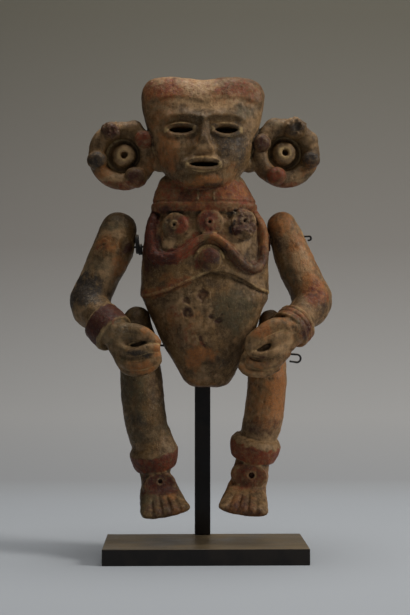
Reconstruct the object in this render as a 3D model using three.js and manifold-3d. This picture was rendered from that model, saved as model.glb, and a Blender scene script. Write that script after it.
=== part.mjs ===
// An articulated clay figure, with arms and legs strung on wires, on a steel display stand.
// Millimetres, +Z up, +X to the viewer's right; the figure faces -Y.
// The origin is the centre of the stand plate's underside.
import * as THREE from "three";
import { mergeVertices } from "three/addons/utils/BufferGeometryUtils.js";
import Module from "manifold-3d";

const wasm = await Module();
wasm.setup();

// Stand
const PLATE = { width: 125, depth: 60, thickness: 10, edge: 0.6 };
const POST = { x: -1, width: 10, depth: 6, top: 204 };
const GAP = 0.3;
const WIRE_GAP = 0.38;

// Wires and their holes
const WIRE_RADIUS = 0.65;
const BORE_RADIUS = 1.5;
const WIRE_Y = 4.5;
// Each wire runs from "left" to "right", then turns down by "drop" and back by "back"
const SHOULDER_WIRE = { left: [-58, 192.9], right: [65.9, 201], drop: 2.6, back: 0.8, steps: 14 };
const HIP_WIRE = { left: [-46, 133.2], right: [58, 126.2], drop: 4.9, back: 4.6, steps: 20 };
// A stepped spacer at the right shoulder and a plain washer at the left one
const SPACER = {
  from: -43.7, to: -39.4, radius: 6.1, thickness: 2.3, rise: 1.8, neckRadius: 3.5, neckDrop: 1.6,
};
const WASHER = { from: 40.1, to: 41, radius: 5.6, drop: 2.4 };

// How square the level sections are: 2 is an ellipse, more is boxier
const SQUARENESS = 2.5;

// Level sections of the body, each with its extent to left, right, front and back
const PELVIS = [
  { z: 106, left: -5, right: 10.6, front: -2, back: 11.4 },
  { z: 107.4, left: -9.4, right: 13.8, front: -5.4, back: 13.8 },
  { z: 112, left: -14.2, right: 17.6, front: -8.4, back: 16.2 },
  { z: 124, left: -21.2, right: 24, front: -13.2, back: 20.4 },
  { z: 136, left: -27.4, right: 29.2, front: -16.2, back: 22.4 },
  { z: 147, left: -32.5, right: 33.5, front: -18, back: 23.4 },
  { z: 155, left: -36.4, right: 36.6, front: -18.8, back: 23.7 },
  { z: 161, left: -39.2, right: 39.4, front: -18.8, back: 23.7 },
  { z: 166, left: -39.4, right: 39.2, front: -18.2, back: 23.6 },
  { z: 186, left: -36.4, right: 37, front: -16, back: 22.6 },
];
const TUNIC = [
  { z: 158, left: -38.6, right: 38.6, front: -20, back: 22 },
  { z: 162.6, left: -40.2, right: 39.9, front: -20.6, back: 23.2 },
  { z: 173, left: -40.4, right: 39.8, front: -20.2, back: 23.7 },
  { z: 186, left: -39.6, right: 40.1, front: -19.2, back: 23.7 },
  { z: 198, left: -38, right: 39.6, front: -18, back: 23.2 },
  { z: 208, left: -35.8, right: 37.2, front: -16.8, back: 21.6 },
  { z: 215, left: -32.6, right: 33.8, front: -15.6, back: 19 },
  { z: 219, left: -28, right: 29, front: -13, back: 15 },
];
const COLLAR = [
  { z: 213, left: -30.6, right: 30.2, front: -15, back: 16.4 },
  { z: 216, left: -32.6, right: 31.8, front: -17.6, back: 18 },
  { z: 220.6, left: -33, right: 31.9, front: -18.2, back: 18.2 },
  { z: 222.6, left: -32, right: 30.6, front: -16.8, back: 17.4 },
  { z: 229, left: -30.8, right: 28, front: -16, back: 16.4 },
  { z: 236, left: -28, right: 24.4, front: -13.6, back: 14.6 },
  { z: 240, left: -23, right: 19.6, front: -9, back: 11 },
];

// The head is symmetric about its own middle, so each section has one half width
const HEAD_X = -1.3;
const HEAD = [
  { z: 228, half: 8, front: -18.6, back: -3 },
  { z: 230, half: 14.4, front: -20.6, back: 4 },
  { z: 235, half: 20.6, front: -21.8, back: 11 },
  { z: 243, half: 26.4, front: -21.8, back: 15.4 },
  { z: 254, half: 31, front: -21, back: 18 },
  { z: 264, half: 33.8, front: -20.4, back: 19 },
  { z: 274, half: 36.6, front: -19.6, back: 19 },
  { z: 284, half: 38.6, front: -17.8, back: 18 },
  { z: 291, half: 38.4, front: -15.6, back: 16 },
  { z: 296.4, half: 35.4, front: -12.6, back: 13 },
  { z: 299.4, half: 30, front: -8.6, back: 9 },
  { z: 300.8, half: 23, front: -4, back: 4.4 },
].map(({ z, half, front, back }) => ({ z, left: HEAD_X - half, right: HEAD_X + half, front, back }));
const CROWN_DIP = { depth: 2.4, width: 12, from: 284, to: 299 };

// The tunic's hem, from the figure's right hip over the belly to its left hip, as x and z
const HEM = [[-46, 161.6], [-34, 162.4], [-23.5, 165.4], [-12, 170.6], [3.4, 177],
  [12, 175], [25.6, 168.4], [32, 165.2], [46, 161.6]];

// The rope that hangs from the collar and crosses the belly, as x and z
const ROPE = [[-30.6, 213], [-33, 205], [-33.6, 194], [-32.6, 187.6], [-27.4, 184.2], [-20.5, 185.2],
  [-12.5, 190.2], [-5.5, 195.6], [2.6, 198.6], [10.6, 194.6], [17.5, 187.4], [24, 180.4],
  [30.6, 178.2], [35.4, 183], [36.4, 193], [35.4, 204], [31, 213]];
const ROPE_RADIUS = 3.2;

const MEDALS = [{ x: -16.6, z: 207 }, { x: 2.8, z: 207.8 }, { x: 23.2, z: 207.6 }];
const MEDAL = { radius: 7.9, rise: 2.6, hole: 1.1 };
const NAVEL = { x: 2.2, z: 184.6, radius: 7.6, rise: 4.2 };

// Ear discs: a dished disc with a thick rim, a pierced boss and four pellets on the rim
const EAR = { radius: 21.8, rim: 5.3, boss: 6.6, hole: 1.7, floor: 1.5 };
const EARS = [
  { x: -51.6, y: 0, z: 251.8, turn: -14, pellets: [116, 36, 190, 299] },
  { x: 50.9, y: 0, z: 252.6, turn: 5, pellets: [72, 159, 348, 249] },
];
const PELLET = [6.2, 5.6, 6];

// Facial features, on plain proportions: eyes half way up the head, nose and mouth in thirds below
const EYE = { x: 14, z: 264.4, width: 15, height: 4.2, pocket: 15 };
const MOUTH = { x: 0, z: 243, width: 19, height: 4, pocket: 15 };
const NOSE = { top: 272, tip: 253, base: 249.6, rise: 7.2 };
const BROW = { z: 273, drop: 0.011, rise: 1.9 };
const CHIN_Z = 233;
// Heights of the head's rings and, across half its front, the columns as shares of the half width
const HEAD_ROWS = [228, 230, 233, 236.5, 239.6, 243, 246.2, 249.4, 252.8, 257, 260.8, 264.4, 268, 271.4,
  275, 283, 291, 297, 300, 300.8];
const HEAD_COLUMNS = [0.08, 0.16, 0.27, 0.4, 0.53, 0.67, 0.82, 0.95];

// Limbs, as x, y, z and radius down the middle of each
const ARMS = {
  right: [
    [[-54.5, 5, 204.6, 10.9], [-57.8, 5.4, 192, 12.3], [-64.8, 5.8, 176.3, 12.1], [-72.2, 4.6, 162, 13]],
    [[-72.2, 3, 159.4, 12.8], [-66, -6, 150, 11.4], [-57.6, -15, 141.8, 10]],
  ],
  left: [
    [[49.7, 5, 206.4, 9.6], [53.3, 5.2, 198.3, 10.6], [57.6, 5.6, 185, 12], [67.8, 4.6, 163, 13.2]],
    [[67.8, 2, 160.4, 13], [62, -6, 151, 11.2], [53.6, -15, 141.8, 10]],
  ],
};
const LEG_RIGHT = [[-42.8, 6, 147.8, 8.6], [-41.8, 4.6, 132, 11.1], [-40.3, 4, 113.3, 12.3],
  [-38.7, 3, 97.5, 12.6], [-36.8, 2.4, 85, 12.4], [-34.3, 2.8, 74.6, 11.4], [-32.4, 3.4, 62, 10.4],
  [-31, 3.4, 48, 9.6]];
const LEG_LEFT = [[41.5, 7.4, 147.2, 7.2], [40.8, 5.6, 131, 10.3], [39.8, 4, 113.3, 12.2],
  [38.6, 3, 97.5, 12.2], [36.8, 2.4, 85, 12.1], [34.2, 2.8, 76, 11.4], [31.2, 3.4, 66.6, 10.8],
  [28.2, 3.4, 51, 10.2]];
const CUFF = { radius: 14.4, width: 9.4, axis: [0.65, -0.48, -0.59] };
const CUFF_RIGHT = [-61.2, -10.6, 143.8];
const CUFF_LEFT = [56, -10.6, 144.4];
const ANKLET = { width: 13, dip: 0.2 };
const ANKLETS = {
  right: { at: [-31.9, 3.4, 62], radius: 14.6 },
  left: { at: [31.2, 3.4, 67.4], radius: 15.3 },
};

// A hand is a curled fist: a thumb above the grip, curled fingers below it and a palm at the wrist.
// Each runs through points that give x, y, z from the hand's centre, and a radius.
const HANDS = {
  right: {
    at: [-41.8, -21.4, 129.4],
    palm: [-9.6, 3.4, 4.4],
    digits: [
      [[-13, -0.6, 9.4, 5.2], [-7, -2, 11.4, 5.8], [0, -2.6, 11.5, 5.7], [7.6, -2.6, 9.4, 4.9],
        [14, -2.2, 5.8, 2.8]],
      [[-14, 0, 2.4, 5], [-9.6, -2.6, -3.4, 5], [-3.2, -3.4, -5.6, 5], [5, -3.2, -3.4, 4.9],
        [13.2, -2.4, 0, 3.4]],
      [[-9, 3.4, -6, 4.8], [-2, 1.8, -11, 4.8], [5.4, 1.4, -11.2, 4.8], [11.4, 2, -8, 4.6],
        [14.6, 2.6, -3, 3.6]],
    ],
  },
  left: {
    at: [39.6, -21.4, 129.7],
    palm: [8, 3.4, 6.4],
    digits: [
      [[8.6, -0.6, 12.6, 5], [1, -2, 11.2, 5.7], [-5.6, -2.6, 8.4, 5.5], [-11.4, -2.6, 4.2, 5],
        [-15.8, -2.2, -1.6, 3.2]],
      [[9, 0, 4.6, 5], [6.6, -2.6, -0.8, 4.8], [0.4, -3.4, -4.6, 4.7], [-6.4, -3.4, -5.6, 4.6],
        [-13.4, -2.4, -4.4, 3.6]],
      [[8, 3.4, -4.6, 4.8], [2.4, 1.8, -10.6, 4.8], [-4.6, 1.4, -12.8, 4.8], [-11.4, 2, -12.4, 4.8],
        [-16.8, 2.6, -9.6, 3.8]],
    ],
  },
};
const PALM_RADII = [9, 7.4, 9.6];

// A foot, as distance ahead of the ankle, half width, top and sole below the ankle
const FOOT = [[-12, 6, -9, -17], [-9, 8.6, -3, -19.6], [0, 9.8, 3, -20], [8, 11, -3.4, -20],
  [16, 13, -9, -20], [21.4, 13.6, -12.6, -19.8], [24.4, 12.4, -14.6, -18.6]];
const FEET = {
  right: { at: [-31.2, 3, 47.4], roll: -9, turn: 8 },
  left: { at: [28.4, 3, 48.8], roll: 6.5, turn: -8 },
};
// The grooves between the toes fan out along this path: distance out from the middle, ahead and up
const TOES = {
  count: 5,
  groove: 1.5,
  path: [[9.8, 11, -5.8], [12.4, 19, -11.4], [13.6, 24.4, -15.4], [13.6, 25, -21]],
};
// The pierced boss on the instep
const KNOT = { width: 8.8, height: 6.8, rise: 2.2, hole: 1.5, above: 0.4, ahead: -8.4 };

const CLAY = new THREE.MeshStandardMaterial({ color: 0xa08065, roughness: 0.85, metalness: 0 });
const STEEL = new THREE.MeshStandardMaterial({ color: 0x2c2a29, roughness: 0.5, metalness: 0.6 });
const RUBBER = new THREE.MeshStandardMaterial({ color: 0x17181a, roughness: 0.7, metalness: 0 });
const LEATHER = new THREE.MeshStandardMaterial({ color: 0x5a3426, roughness: 0.8, metalness: 0 });

const degrees = THREE.MathUtils.degToRad;
const vector = (point) => new THREE.Vector3(point[0], point[1], point[2]);

// Closed solids

function signedVolume(position, index) {
  const [a, b, c] = [new THREE.Vector3(), new THREE.Vector3(), new THREE.Vector3()];
  let volume = 0;
  for (let i = 0; i < index.length; i += 3) {
    a.fromBufferAttribute(position, index[i]);
    b.fromBufferAttribute(position, index[i + 1]);
    c.fromBufferAttribute(position, index[i + 2]);
    volume += a.dot(b.cross(c)) / 6;
  }
  return volume;
}

function solid(geometry) {
  const bare = geometry.clone();
  bare.deleteAttribute("normal");
  bare.deleteAttribute("uv");
  const merged = mergeVertices(bare, 1e-4);
  const triVerts = new Uint32Array(merged.index.array);
  if (signedVolume(merged.attributes.position, triVerts) < 0) triVerts.reverse();
  return new wasm.Manifold(
    new wasm.Mesh({ numProp: 3, vertProperties: merged.attributes.position.array, triVerts }),
  );
}

function mesh(name, made, material) {
  const { vertProperties, triVerts } = made.getMesh();
  const geometry = new THREE.BufferGeometry();
  geometry.setAttribute("position", new THREE.BufferAttribute(vertProperties, 3));
  geometry.setIndex(new THREE.BufferAttribute(triVerts, 1));
  geometry.computeVertexNormals();
  const result = new THREE.Mesh(geometry, material);
  result.name = name;
  return result;
}

const joined = (solids) => solids.reduce((whole, piece) => whole.add(piece));
const cut = (whole, tools) => tools.reduce((rest, tool) => rest.subtract(tool), whole);

// Shapes

// Closed surface through rings of points, with a flat fan over each end
function skin(rings) {
  const count = rings[0].length;
  const points = rings.flat();
  const middle = (ring) => ring.reduce((sum, p) => sum.add(p), new THREE.Vector3()).divideScalar(count);
  const first = points.push(middle(rings[0])) - 1;
  const last = points.push(middle(rings.at(-1))) - 1;
  const faces = [];
  for (let i = 0; i < count; i++) {
    const j = (i + 1) % count;
    for (let k = 0; k < rings.length - 1; k++) {
      const [low, high] = [k * count, (k + 1) * count];
      faces.push(low + i, low + j, high + j, low + i, high + j, high + i);
    }
    const top = (rings.length - 1) * count;
    faces.push(first, j, i, last, top + i, top + j);
  }
  return new THREE.BufferGeometry().setFromPoints(points).setIndex(faces);
}

// Each value of the stations at height z, along a smooth curve through them
function sectionAt(stations, z) {
  const last = stations.length - 1;
  const height = THREE.MathUtils.clamp(z, stations[0].z, stations[last].z);
  let k = 0;
  while (k < last - 1 && stations[k + 1].z < height) k++;
  const [p, q] = [stations[k], stations[k + 1]];
  const [before, after] = [stations[Math.max(k - 1, 0)], stations[Math.min(k + 2, last)]];
  const span = q.z - p.z;
  const t = (height - p.z) / span;
  const value = (key) => {
    const slopeIn = ((q[key] - before[key]) / (q.z - before.z)) * span;
    const slopeOut = ((after[key] - p[key]) / (after.z - p.z)) * span;
    const [t2, t3] = [t * t, t * t * t];
    return (2 * t3 - 3 * t2 + 1) * p[key] + (t3 - 2 * t2 + t) * slopeIn
      + (3 * t2 - 2 * t3) * q[key] + (t3 - t2) * slopeOut;
  };
  return { left: value("left"), right: value("right"), front: value("front"), back: value("back") };
}

const evenly = (count) => Array.from({ length: count }, (_, i) => ((i + 0.5) / count) * 2 * Math.PI);

// Ring of points round a level section, at the given angles
function sectionRing(section, z, angles) {
  const [halfX, halfY] = [(section.right - section.left) / 2, (section.back - section.front) / 2];
  const [midX, midY] = [(section.right + section.left) / 2, (section.back + section.front) / 2];
  const bulge = (value) => Math.sign(value) * Math.abs(value) ** (2 / SQUARENESS);
  return angles.map((angle) =>
    new THREE.Vector3(midX + halfX * bulge(Math.cos(angle)), midY + halfY * bulge(Math.sin(angle)), z));
}

const loft = (stations, count) =>
  solid(skin(stations.map((station) => sectionRing(station, station.z, evenly(count)))));

// The y of a lofted form's front surface at x and z
function frontOf(stations, x, z) {
  const { left, right, front, back } = sectionAt(stations, z);
  const across = Math.min(Math.abs((x - (left + right) / 2) / ((right - left) / 2)), 0.985);
  return (front + back) / 2 - ((back - front) / 2) * (1 - across ** SQUARENESS) ** (1 / SQUARENESS);
}

// Round limb through points that each carry a radius, with round ends
function limb(points, sides = 14, steps = 18, capRings = 3) {
  const curve = new THREE.CatmullRomCurve3(points.map(vector), false, "centripetal");
  const last = points.length - 1;
  const radiusAt = (t) => {
    const k = Math.min(Math.floor(t * last), last - 1);
    return THREE.MathUtils.lerp(points[k][3], points[k + 1][3], t * last - k);
  };
  const across = new THREE.Vector3(0, 1, 0);
  const ringAt = (t, beyond, share) => {
    const along = curve.getTangent(t);
    const side = new THREE.Vector3().crossVectors(across, along).normalize();
    const up = new THREE.Vector3().crossVectors(along, side);
    const radius = radiusAt(t);
    const centre = curve.getPoint(t).addScaledVector(along, beyond * radius);
    return Array.from({ length: sides }, (_, i) => {
      const angle = (i / sides) * 2 * Math.PI;
      return centre.clone()
        .addScaledVector(side, Math.cos(angle) * radius * share)
        .addScaledVector(up, Math.sin(angle) * radius * share);
    });
  };
  const cap = (t, sign) => Array.from({ length: capRings }, (_, i) => {
    const angle = ((i + 1) / (capRings + 0.35)) * (Math.PI / 2);
    return ringAt(t, sign * Math.sin(angle), Math.cos(angle));
  });
  const middle = Array.from({ length: steps + 1 }, (_, i) => ringAt(i / steps, 0, 1));
  return solid(skin([...cap(0, -1).reverse(), ...middle, ...cap(1, 1)]));
}

function ball(centre, radii, around = 10) {
  const geometry = new THREE.SphereGeometry(1, around, Math.round(around * 0.7));
  return solid(geometry.scale(radii[0], radii[1], radii[2]).translate(centre[0], centre[1], centre[2]));
}

// Turned form: its profile is radius and distance along the axis that points along "axis"
function turned(profile, centre, axis, around = 20) {
  const geometry = new THREE.LatheGeometry(profile.map(([r, h]) => new THREE.Vector2(r, h)), around);
  const up = new THREE.Vector3(0, 1, 0);
  const turn = new THREE.Quaternion().setFromUnitVectors(up, vector(axis).normalize());
  return solid(geometry.applyQuaternion(turn).translate(centre[0], centre[1], centre[2]));
}

function rod(from, to, radius, around = 8) {
  const axis = vector(to).sub(vector(from));
  const length = axis.length();
  return turned([[0, 0], [radius, 0], [radius, length], [0, length]], from, axis.toArray(), around);
}

// Flat shape in x and z, extruded from y = front to y = back
function slab(outline, front, back) {
  const straight = { depth: back - front, bevelEnabled: false, curveSegments: 8 };
  const geometry = new THREE.ExtrudeGeometry(outline, straight);
  return solid(geometry.rotateX(Math.PI / 2).translate(0, back, 0));
}

// Lens-shaped outline in x and z, from two arcs
function lens(x, z, width, height) {
  const shape = new THREE.Shape().moveTo(x - width / 2, z);
  shape.quadraticCurveTo(x, z + height, x + width / 2, z);
  shape.quadraticCurveTo(x, z - height, x - width / 2, z);
  return shape;
}

// A point on a lofted form's front, sunk below it by "depth"
const onFront = (stations, x, z, depth) => [x, frontOf(stations, x, z) + depth, z];

// Body

const bump = (distance, width) => Math.exp(-((distance / width) ** 2));

// How far the face stands out from the plain head, "u" to the side of its middle and at height z
function faceRelief(u, z) {
  const side = Math.abs(u);
  const along = THREE.MathUtils.clamp((NOSE.top - z) / (NOSE.top - NOSE.tip), 0, 1);
  const under = THREE.MathUtils.smoothstep(z, NOSE.base - 0.4, NOSE.tip);
  const nose = (1.2 + (NOSE.rise - 1.2) * along ** 1.4) * under * bump(side, 3.4 + 1.8 * along ** 3)
    * (z < NOSE.top + 4 ? 1 : bump(z - NOSE.top - 4, 4));
  const arch = z - BROW.z + BROW.drop * (side - 11) ** 2;
  const brow = BROW.rise * bump(arch, 2.6) * bump(Math.max(side - 24, 0), 4);
  const socket = -2.2 * bump(side - EYE.x, 9) * bump(z - EYE.z, 4.6);
  const lids = 1.5 * bump(side - EYE.x, 7.4) * bump(z - EYE.z, 3.8);
  const cheek = 1.8 * bump(side - 17, 9) * bump(z - 251, 7);
  const lips = 2 * bump(side, MOUTH.width * 0.52) * bump(z - MOUTH.z, 4.4);
  const chin = 2.2 * bump(side, 8) * bump(z - CHIN_Z, 3.4);
  return nose + brow + socket + lids + cheek + lips + chin;
}

function head() {
  const inward = HEAD_COLUMNS.map((share) => Math.acos(share ** (SQUARENESS / 2)));
  const outer = inward.toReversed().map((angle) => angle - Math.PI);
  const front = [...outer, -Math.PI / 2, ...inward.map((angle) => -angle)];
  const behind = Array.from({ length: 8 }, (_, i) => (i / 7) * Math.PI);
  const angles = [...front, ...behind];
  const rings = HEAD_ROWS.map((z) => sectionRing(sectionAt(HEAD, z), z, angles));
  for (const point of rings.flat()) {
    const u = point.x - HEAD_X;
    if (point.y < 0) point.y -= faceRelief(u, point.z);
    const high = THREE.MathUtils.smoothstep(point.z, CROWN_DIP.from, CROWN_DIP.to);
    point.z -= CROWN_DIP.depth * high * bump(u, CROWN_DIP.width);
  }
  const pockets = [{ ...EYE, x: -EYE.x }, EYE, MOUTH].map(({ x, z, width, height, pocket }) => {
    const surface = frontOf(HEAD, HEAD_X + x, z);
    return slab(lens(HEAD_X + x, z, width, height), surface - 20, surface + pocket);
  });
  return cut(solid(skin(rings)), pockets);
}

function ear({ x, y, z, turn, pellets }) {
  const { radius, rim, boss, hole, floor } = EAR;
  const crest = radius - rim;
  const wall = crest - rim - 0.6;
  const profile = [[0, -rim], [crest, -rim], [radius, -rim * 0.3], [radius, rim * 0.3], [crest, rim],
    [wall, floor - 2.4], [boss, floor - 2.4], [boss - 0.4, floor + 1.4], [hole, floor + 1.4],
    [hole, floor - 3.2], [0, floor - 3.2]];
  const angle = degrees(turn);
  const axis = [Math.sin(angle), -Math.cos(angle), 0];
  const pieces = [turned(profile, [x, y, z], axis, 16)];
  for (const pellet of pellets.map(degrees)) {
    const [across, up] = [Math.cos(pellet) * crest, Math.sin(pellet) * crest];
    const atX = x + across * Math.cos(angle) + axis[0] * rim;
    const atY = y + across * Math.sin(angle) + axis[1] * rim;
    pieces.push(ball([atX, atY, z + up], PELLET, 6));
  }
  return joined(pieces);
}

function figureBody() {
  const below = new THREE.Shape(HEM.map(([x, z]) => new THREE.Vector2(x, z)));
  below.lineTo(46, 140).lineTo(-46, 140);
  const tunic = loft(TUNIC, 20).subtract(slab(below, -40, 40));
  const rope = limb(ROPE.map(([x, z]) => [...onFront(TUNIC, x, z, 0.6), ROPE_RADIUS]), 5, 22, 0);
  const medals = MEDALS.map(({ x, z }) => {
    const { radius, rise, hole } = MEDAL;
    const profile = [[0, -2], [radius, -2], [radius - 0.6, rise],
      [hole, rise * 0.7], [hole, 0.2], [0, 0.2]];
    return turned(profile, onFront(TUNIC, x, z, 0), [x * 0.012, -1, 0.1], 10);
  });
  const navel = ball(onFront(TUNIC, NAVEL.x, NAVEL.z, 0.4), [NAVEL.radius, NAVEL.rise, NAVEL.radius], 8);
  const dress = [tunic, rope, ...medals, navel, loft(COLLAR, 20)];
  return joined([loft(PELVIS, 20), ...dress, head(), ...EARS.map(ear)]);
}

// Limbs

function hand({ at, palm, digits }) {
  const place = ([x, y, z, r]) => [at[0] + x, at[1] + y, at[2] + z, r];
  const curled = digits.map((path) => limb(path.map(place), 6, 4, 1));
  return joined([ball(place(palm), PALM_RADII, 7), ...curled]);
}

// Rounded band about an axis
function band(centre, axis, radius, width) {
  const profile = [[0, -width / 2], [radius - 2.6, -width / 2], [radius, -width * 0.22],
    [radius, width * 0.22], [radius - 2.6, width / 2], [0, width / 2]];
  return turned(profile, centre, axis, 14);
}

function arm(side) {
  const inward = side === "right" ? 1 : -1;
  const axis = [CUFF.axis[0] * inward, CUFF.axis[1], CUFF.axis[2]];
  const cuff = band(side === "right" ? CUFF_RIGHT : CUFF_LEFT, axis, CUFF.radius, CUFF.width);
  const [upper, lower] = ARMS[side];
  return joined([limb(upper, 11, 4, 2), limb(lower, 10, 3, 1), cuff, hand(HANDS[side])]);
}

function foot(side) {
  const { at, roll, turn } = FEET[side];
  const rings = FOOT.map(([ahead, half, top, sole]) => {
    const section = { left: -half, right: half, front: sole, back: top };
    return sectionRing(section, 0, evenly(12)).map(({ x, y }) => new THREE.Vector3(x, -ahead, y));
  });
  const { count, groove, path } = TOES;
  const grooves = Array.from({ length: count - 1 }, (_, i) => {
    const share = ((i + 1) / count - 0.5) * 2;
    return limb(path.map(([out, ahead, up]) => [share * out, -ahead, up, groove]), 3, 3, 0);
  });
  const shaped = cut(solid(skin(rings)), grooves);
  const knot = turned([[0, -4], [1, -4], [1, 0.5], [0.86, 1], [0, 1]], [0, 0, 0], [0, -1, 0.16], 13)
    .scale([KNOT.width, KNOT.rise, KNOT.height]).translate([0, KNOT.ahead, KNOT.above]);
  const lacing = rod([0, -30, KNOT.above + 0.4], [0, KNOT.ahead + 1, KNOT.above + 0.4], KNOT.hole);
  return shaped.add(knot).subtract(lacing).rotate([0, roll, turn]).translate(at);
}

function leg(side) {
  const spine = side === "right" ? LEG_RIGHT : LEG_LEFT;
  const { at, radius } = ANKLETS[side];
  const axis = vector(spine.at(-3)).sub(vector(spine.at(-1))).normalize();
  axis.y -= ANKLET.dip;
  return joined([limb(spine, 10, 6, 2), band(at, axis.toArray(), radius, ANKLET.width), foot(side)]);
}

// Wires, spacers and the stand

function wirePoint({ left, right }, x) {
  const share = (x - left[0]) / (right[0] - left[0]);
  return [x, WIRE_Y, THREE.MathUtils.lerp(left[1], right[1], share)];
}

const alongWire = (wire, from, to, radius) => rod(wirePoint(wire, from), wirePoint(wire, to), radius);
const bore = (wire) => alongWire(wire, wire.left[0] - 2, wire.right[0] + 20, BORE_RADIUS);

function bentWire(wire) {
  const { left, right: [x, z], drop, back, steps } = wire;
  const radius = drop / 2;
  const bend = [60, 20, -20, -60].map(degrees).map((angle) =>
    [x + radius * Math.cos(angle), WIRE_Y, z - radius + radius * Math.sin(angle)]);
  const path = [[left[0], WIRE_Y, left[1]], wirePoint(wire, x - 10), wirePoint(wire, x - 1), ...bend,
    [x - 1, WIRE_Y, z - drop], [x - back, WIRE_Y, z - drop]];
  return limb(path.map((point) => [...point, WIRE_RADIUS]), 5, steps, 0);
}

// A disc around the shoulder wire, its middle "rise" above the wire
function disc(from, to, radius, rise) {
  const [start, end] = [wirePoint(SHOULDER_WIRE, from), wirePoint(SHOULDER_WIRE, to)];
  return rod([start[0], start[1], start[2] + rise], [end[0], end[1], end[2] + rise], radius, 10);
}

const clearOfWire = (made) => made.subtract(alongWire(SHOULDER_WIRE, -60, 60, WIRE_RADIUS + WIRE_GAP));

function spacer() {
  const { from, to, radius, thickness, rise, neckRadius, neckDrop } = SPACER;
  const flange = disc(from, from + thickness, radius, rise);
  return clearOfWire(flange.add(disc(from + thickness / 2, to, neckRadius, -neckDrop)));
}

function washer() {
  const { from, to, radius, drop } = WASHER;
  return clearOfWire(disc(from, to, radius, -drop));
}

function plate() {
  const { width, depth, thickness, edge } = PLATE;
  const shape = new THREE.Shape();
  shape.moveTo(-width / 2 + edge, -depth / 2 + edge).lineTo(width / 2 - edge, -depth / 2 + edge)
    .lineTo(width / 2 - edge, depth / 2 - edge).lineTo(-width / 2 + edge, depth / 2 - edge);
  const rounding = { bevelEnabled: true, bevelThickness: edge, bevelSize: edge, bevelSegments: 2 };
  const geometry = new THREE.ExtrudeGeometry(shape, { depth: thickness - 2 * edge, ...rounding });
  return solid(geometry.translate(0, 0, edge));
}

function post() {
  const { x, width, depth, top } = POST;
  const height = top - PLATE.thickness - GAP;
  const geometry = new THREE.BoxGeometry(width, depth, height);
  return solid(geometry.translate(x, (PLATE.depth - depth) / 2, PLATE.thickness + GAP + height / 2));
}

const figure = new THREE.Group();
const wires = [bore(SHOULDER_WIRE), bore(HIP_WIRE)];
figure.add(mesh("display_plate", plate(), STEEL));
figure.add(mesh("display_post", post(), STEEL));
figure.add(mesh("figure_body", cut(figureBody(), wires), CLAY));
for (const side of ["right", "left"]) {
  figure.add(mesh(`arm_${side}`, cut(arm(side), wires), CLAY));
  figure.add(mesh(`leg_${side}`, cut(leg(side), wires), CLAY));
}
figure.add(mesh("shoulder_wire", bentWire(SHOULDER_WIRE), STEEL));
figure.add(mesh("hip_wire", bentWire(HIP_WIRE), STEEL));
figure.add(mesh("shoulder_spacer_right", spacer(), RUBBER));
figure.add(mesh("shoulder_spacer_left", washer(), LEATHER));

export default figure;
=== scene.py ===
# Looks of an articulated clay figure on a steel display stand.
# Shapes are worked out in millimetres and become metres where a mesh is made. +Z is up, +X is to the
# viewer's right, and the figure faces -Y, so its right arm and leg are at -X.
import math
from itertools import product

import bpy
import numpy as np
import openvdb
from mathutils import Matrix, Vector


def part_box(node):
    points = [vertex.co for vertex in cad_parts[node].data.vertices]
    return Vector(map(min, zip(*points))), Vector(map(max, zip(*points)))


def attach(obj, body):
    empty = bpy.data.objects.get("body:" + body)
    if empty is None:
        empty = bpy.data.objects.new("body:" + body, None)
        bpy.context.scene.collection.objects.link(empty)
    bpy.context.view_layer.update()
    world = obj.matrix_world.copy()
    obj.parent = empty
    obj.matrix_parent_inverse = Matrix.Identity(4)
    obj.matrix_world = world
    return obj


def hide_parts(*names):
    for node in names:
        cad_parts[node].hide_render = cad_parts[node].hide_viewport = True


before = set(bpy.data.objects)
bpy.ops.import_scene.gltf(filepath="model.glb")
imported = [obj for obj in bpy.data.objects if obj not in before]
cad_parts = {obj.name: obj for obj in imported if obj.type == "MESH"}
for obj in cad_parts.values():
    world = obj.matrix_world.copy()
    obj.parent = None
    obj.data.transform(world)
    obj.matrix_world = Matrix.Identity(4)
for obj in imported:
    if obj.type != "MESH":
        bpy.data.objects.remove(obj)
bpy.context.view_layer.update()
MM = 0.001

# Stand
PLATE = {"width": 125, "depth": 60, "thickness": 10, "edge": 0.6}
POST = {"x": -1, "width": 10, "depth": 6, "top": 204, "gap": 0.3, "edge": 0.35}

# Wires, from their left end to their right end as x and z, then down by "drop" and back by "back"
WIRE_RADIUS = 0.65
BORE_RADIUS = 1.5
WIRE_Y = 4.5
WIRE_GAP = 0.38
WIRE_SIDES = 14
SHOULDER_WIRE = {"left": (-58, 192.9), "right": (65.9, 201), "drop": 2.6, "back": 0.8}
HIP_WIRE = {"left": (-46, 133.2), "right": (58, 126.2), "drop": 4.9, "back": 4.6}
SPACER = {"from": -43.7, "to": -39.4, "radius": 6.1, "thickness": 2.3, "rise": 1.8,
          "neck_radius": 3.5, "neck_drop": 1.6}
WASHER = {"from": 40.1, "to": 41, "radius": 5.6, "drop": 2.4}

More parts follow.
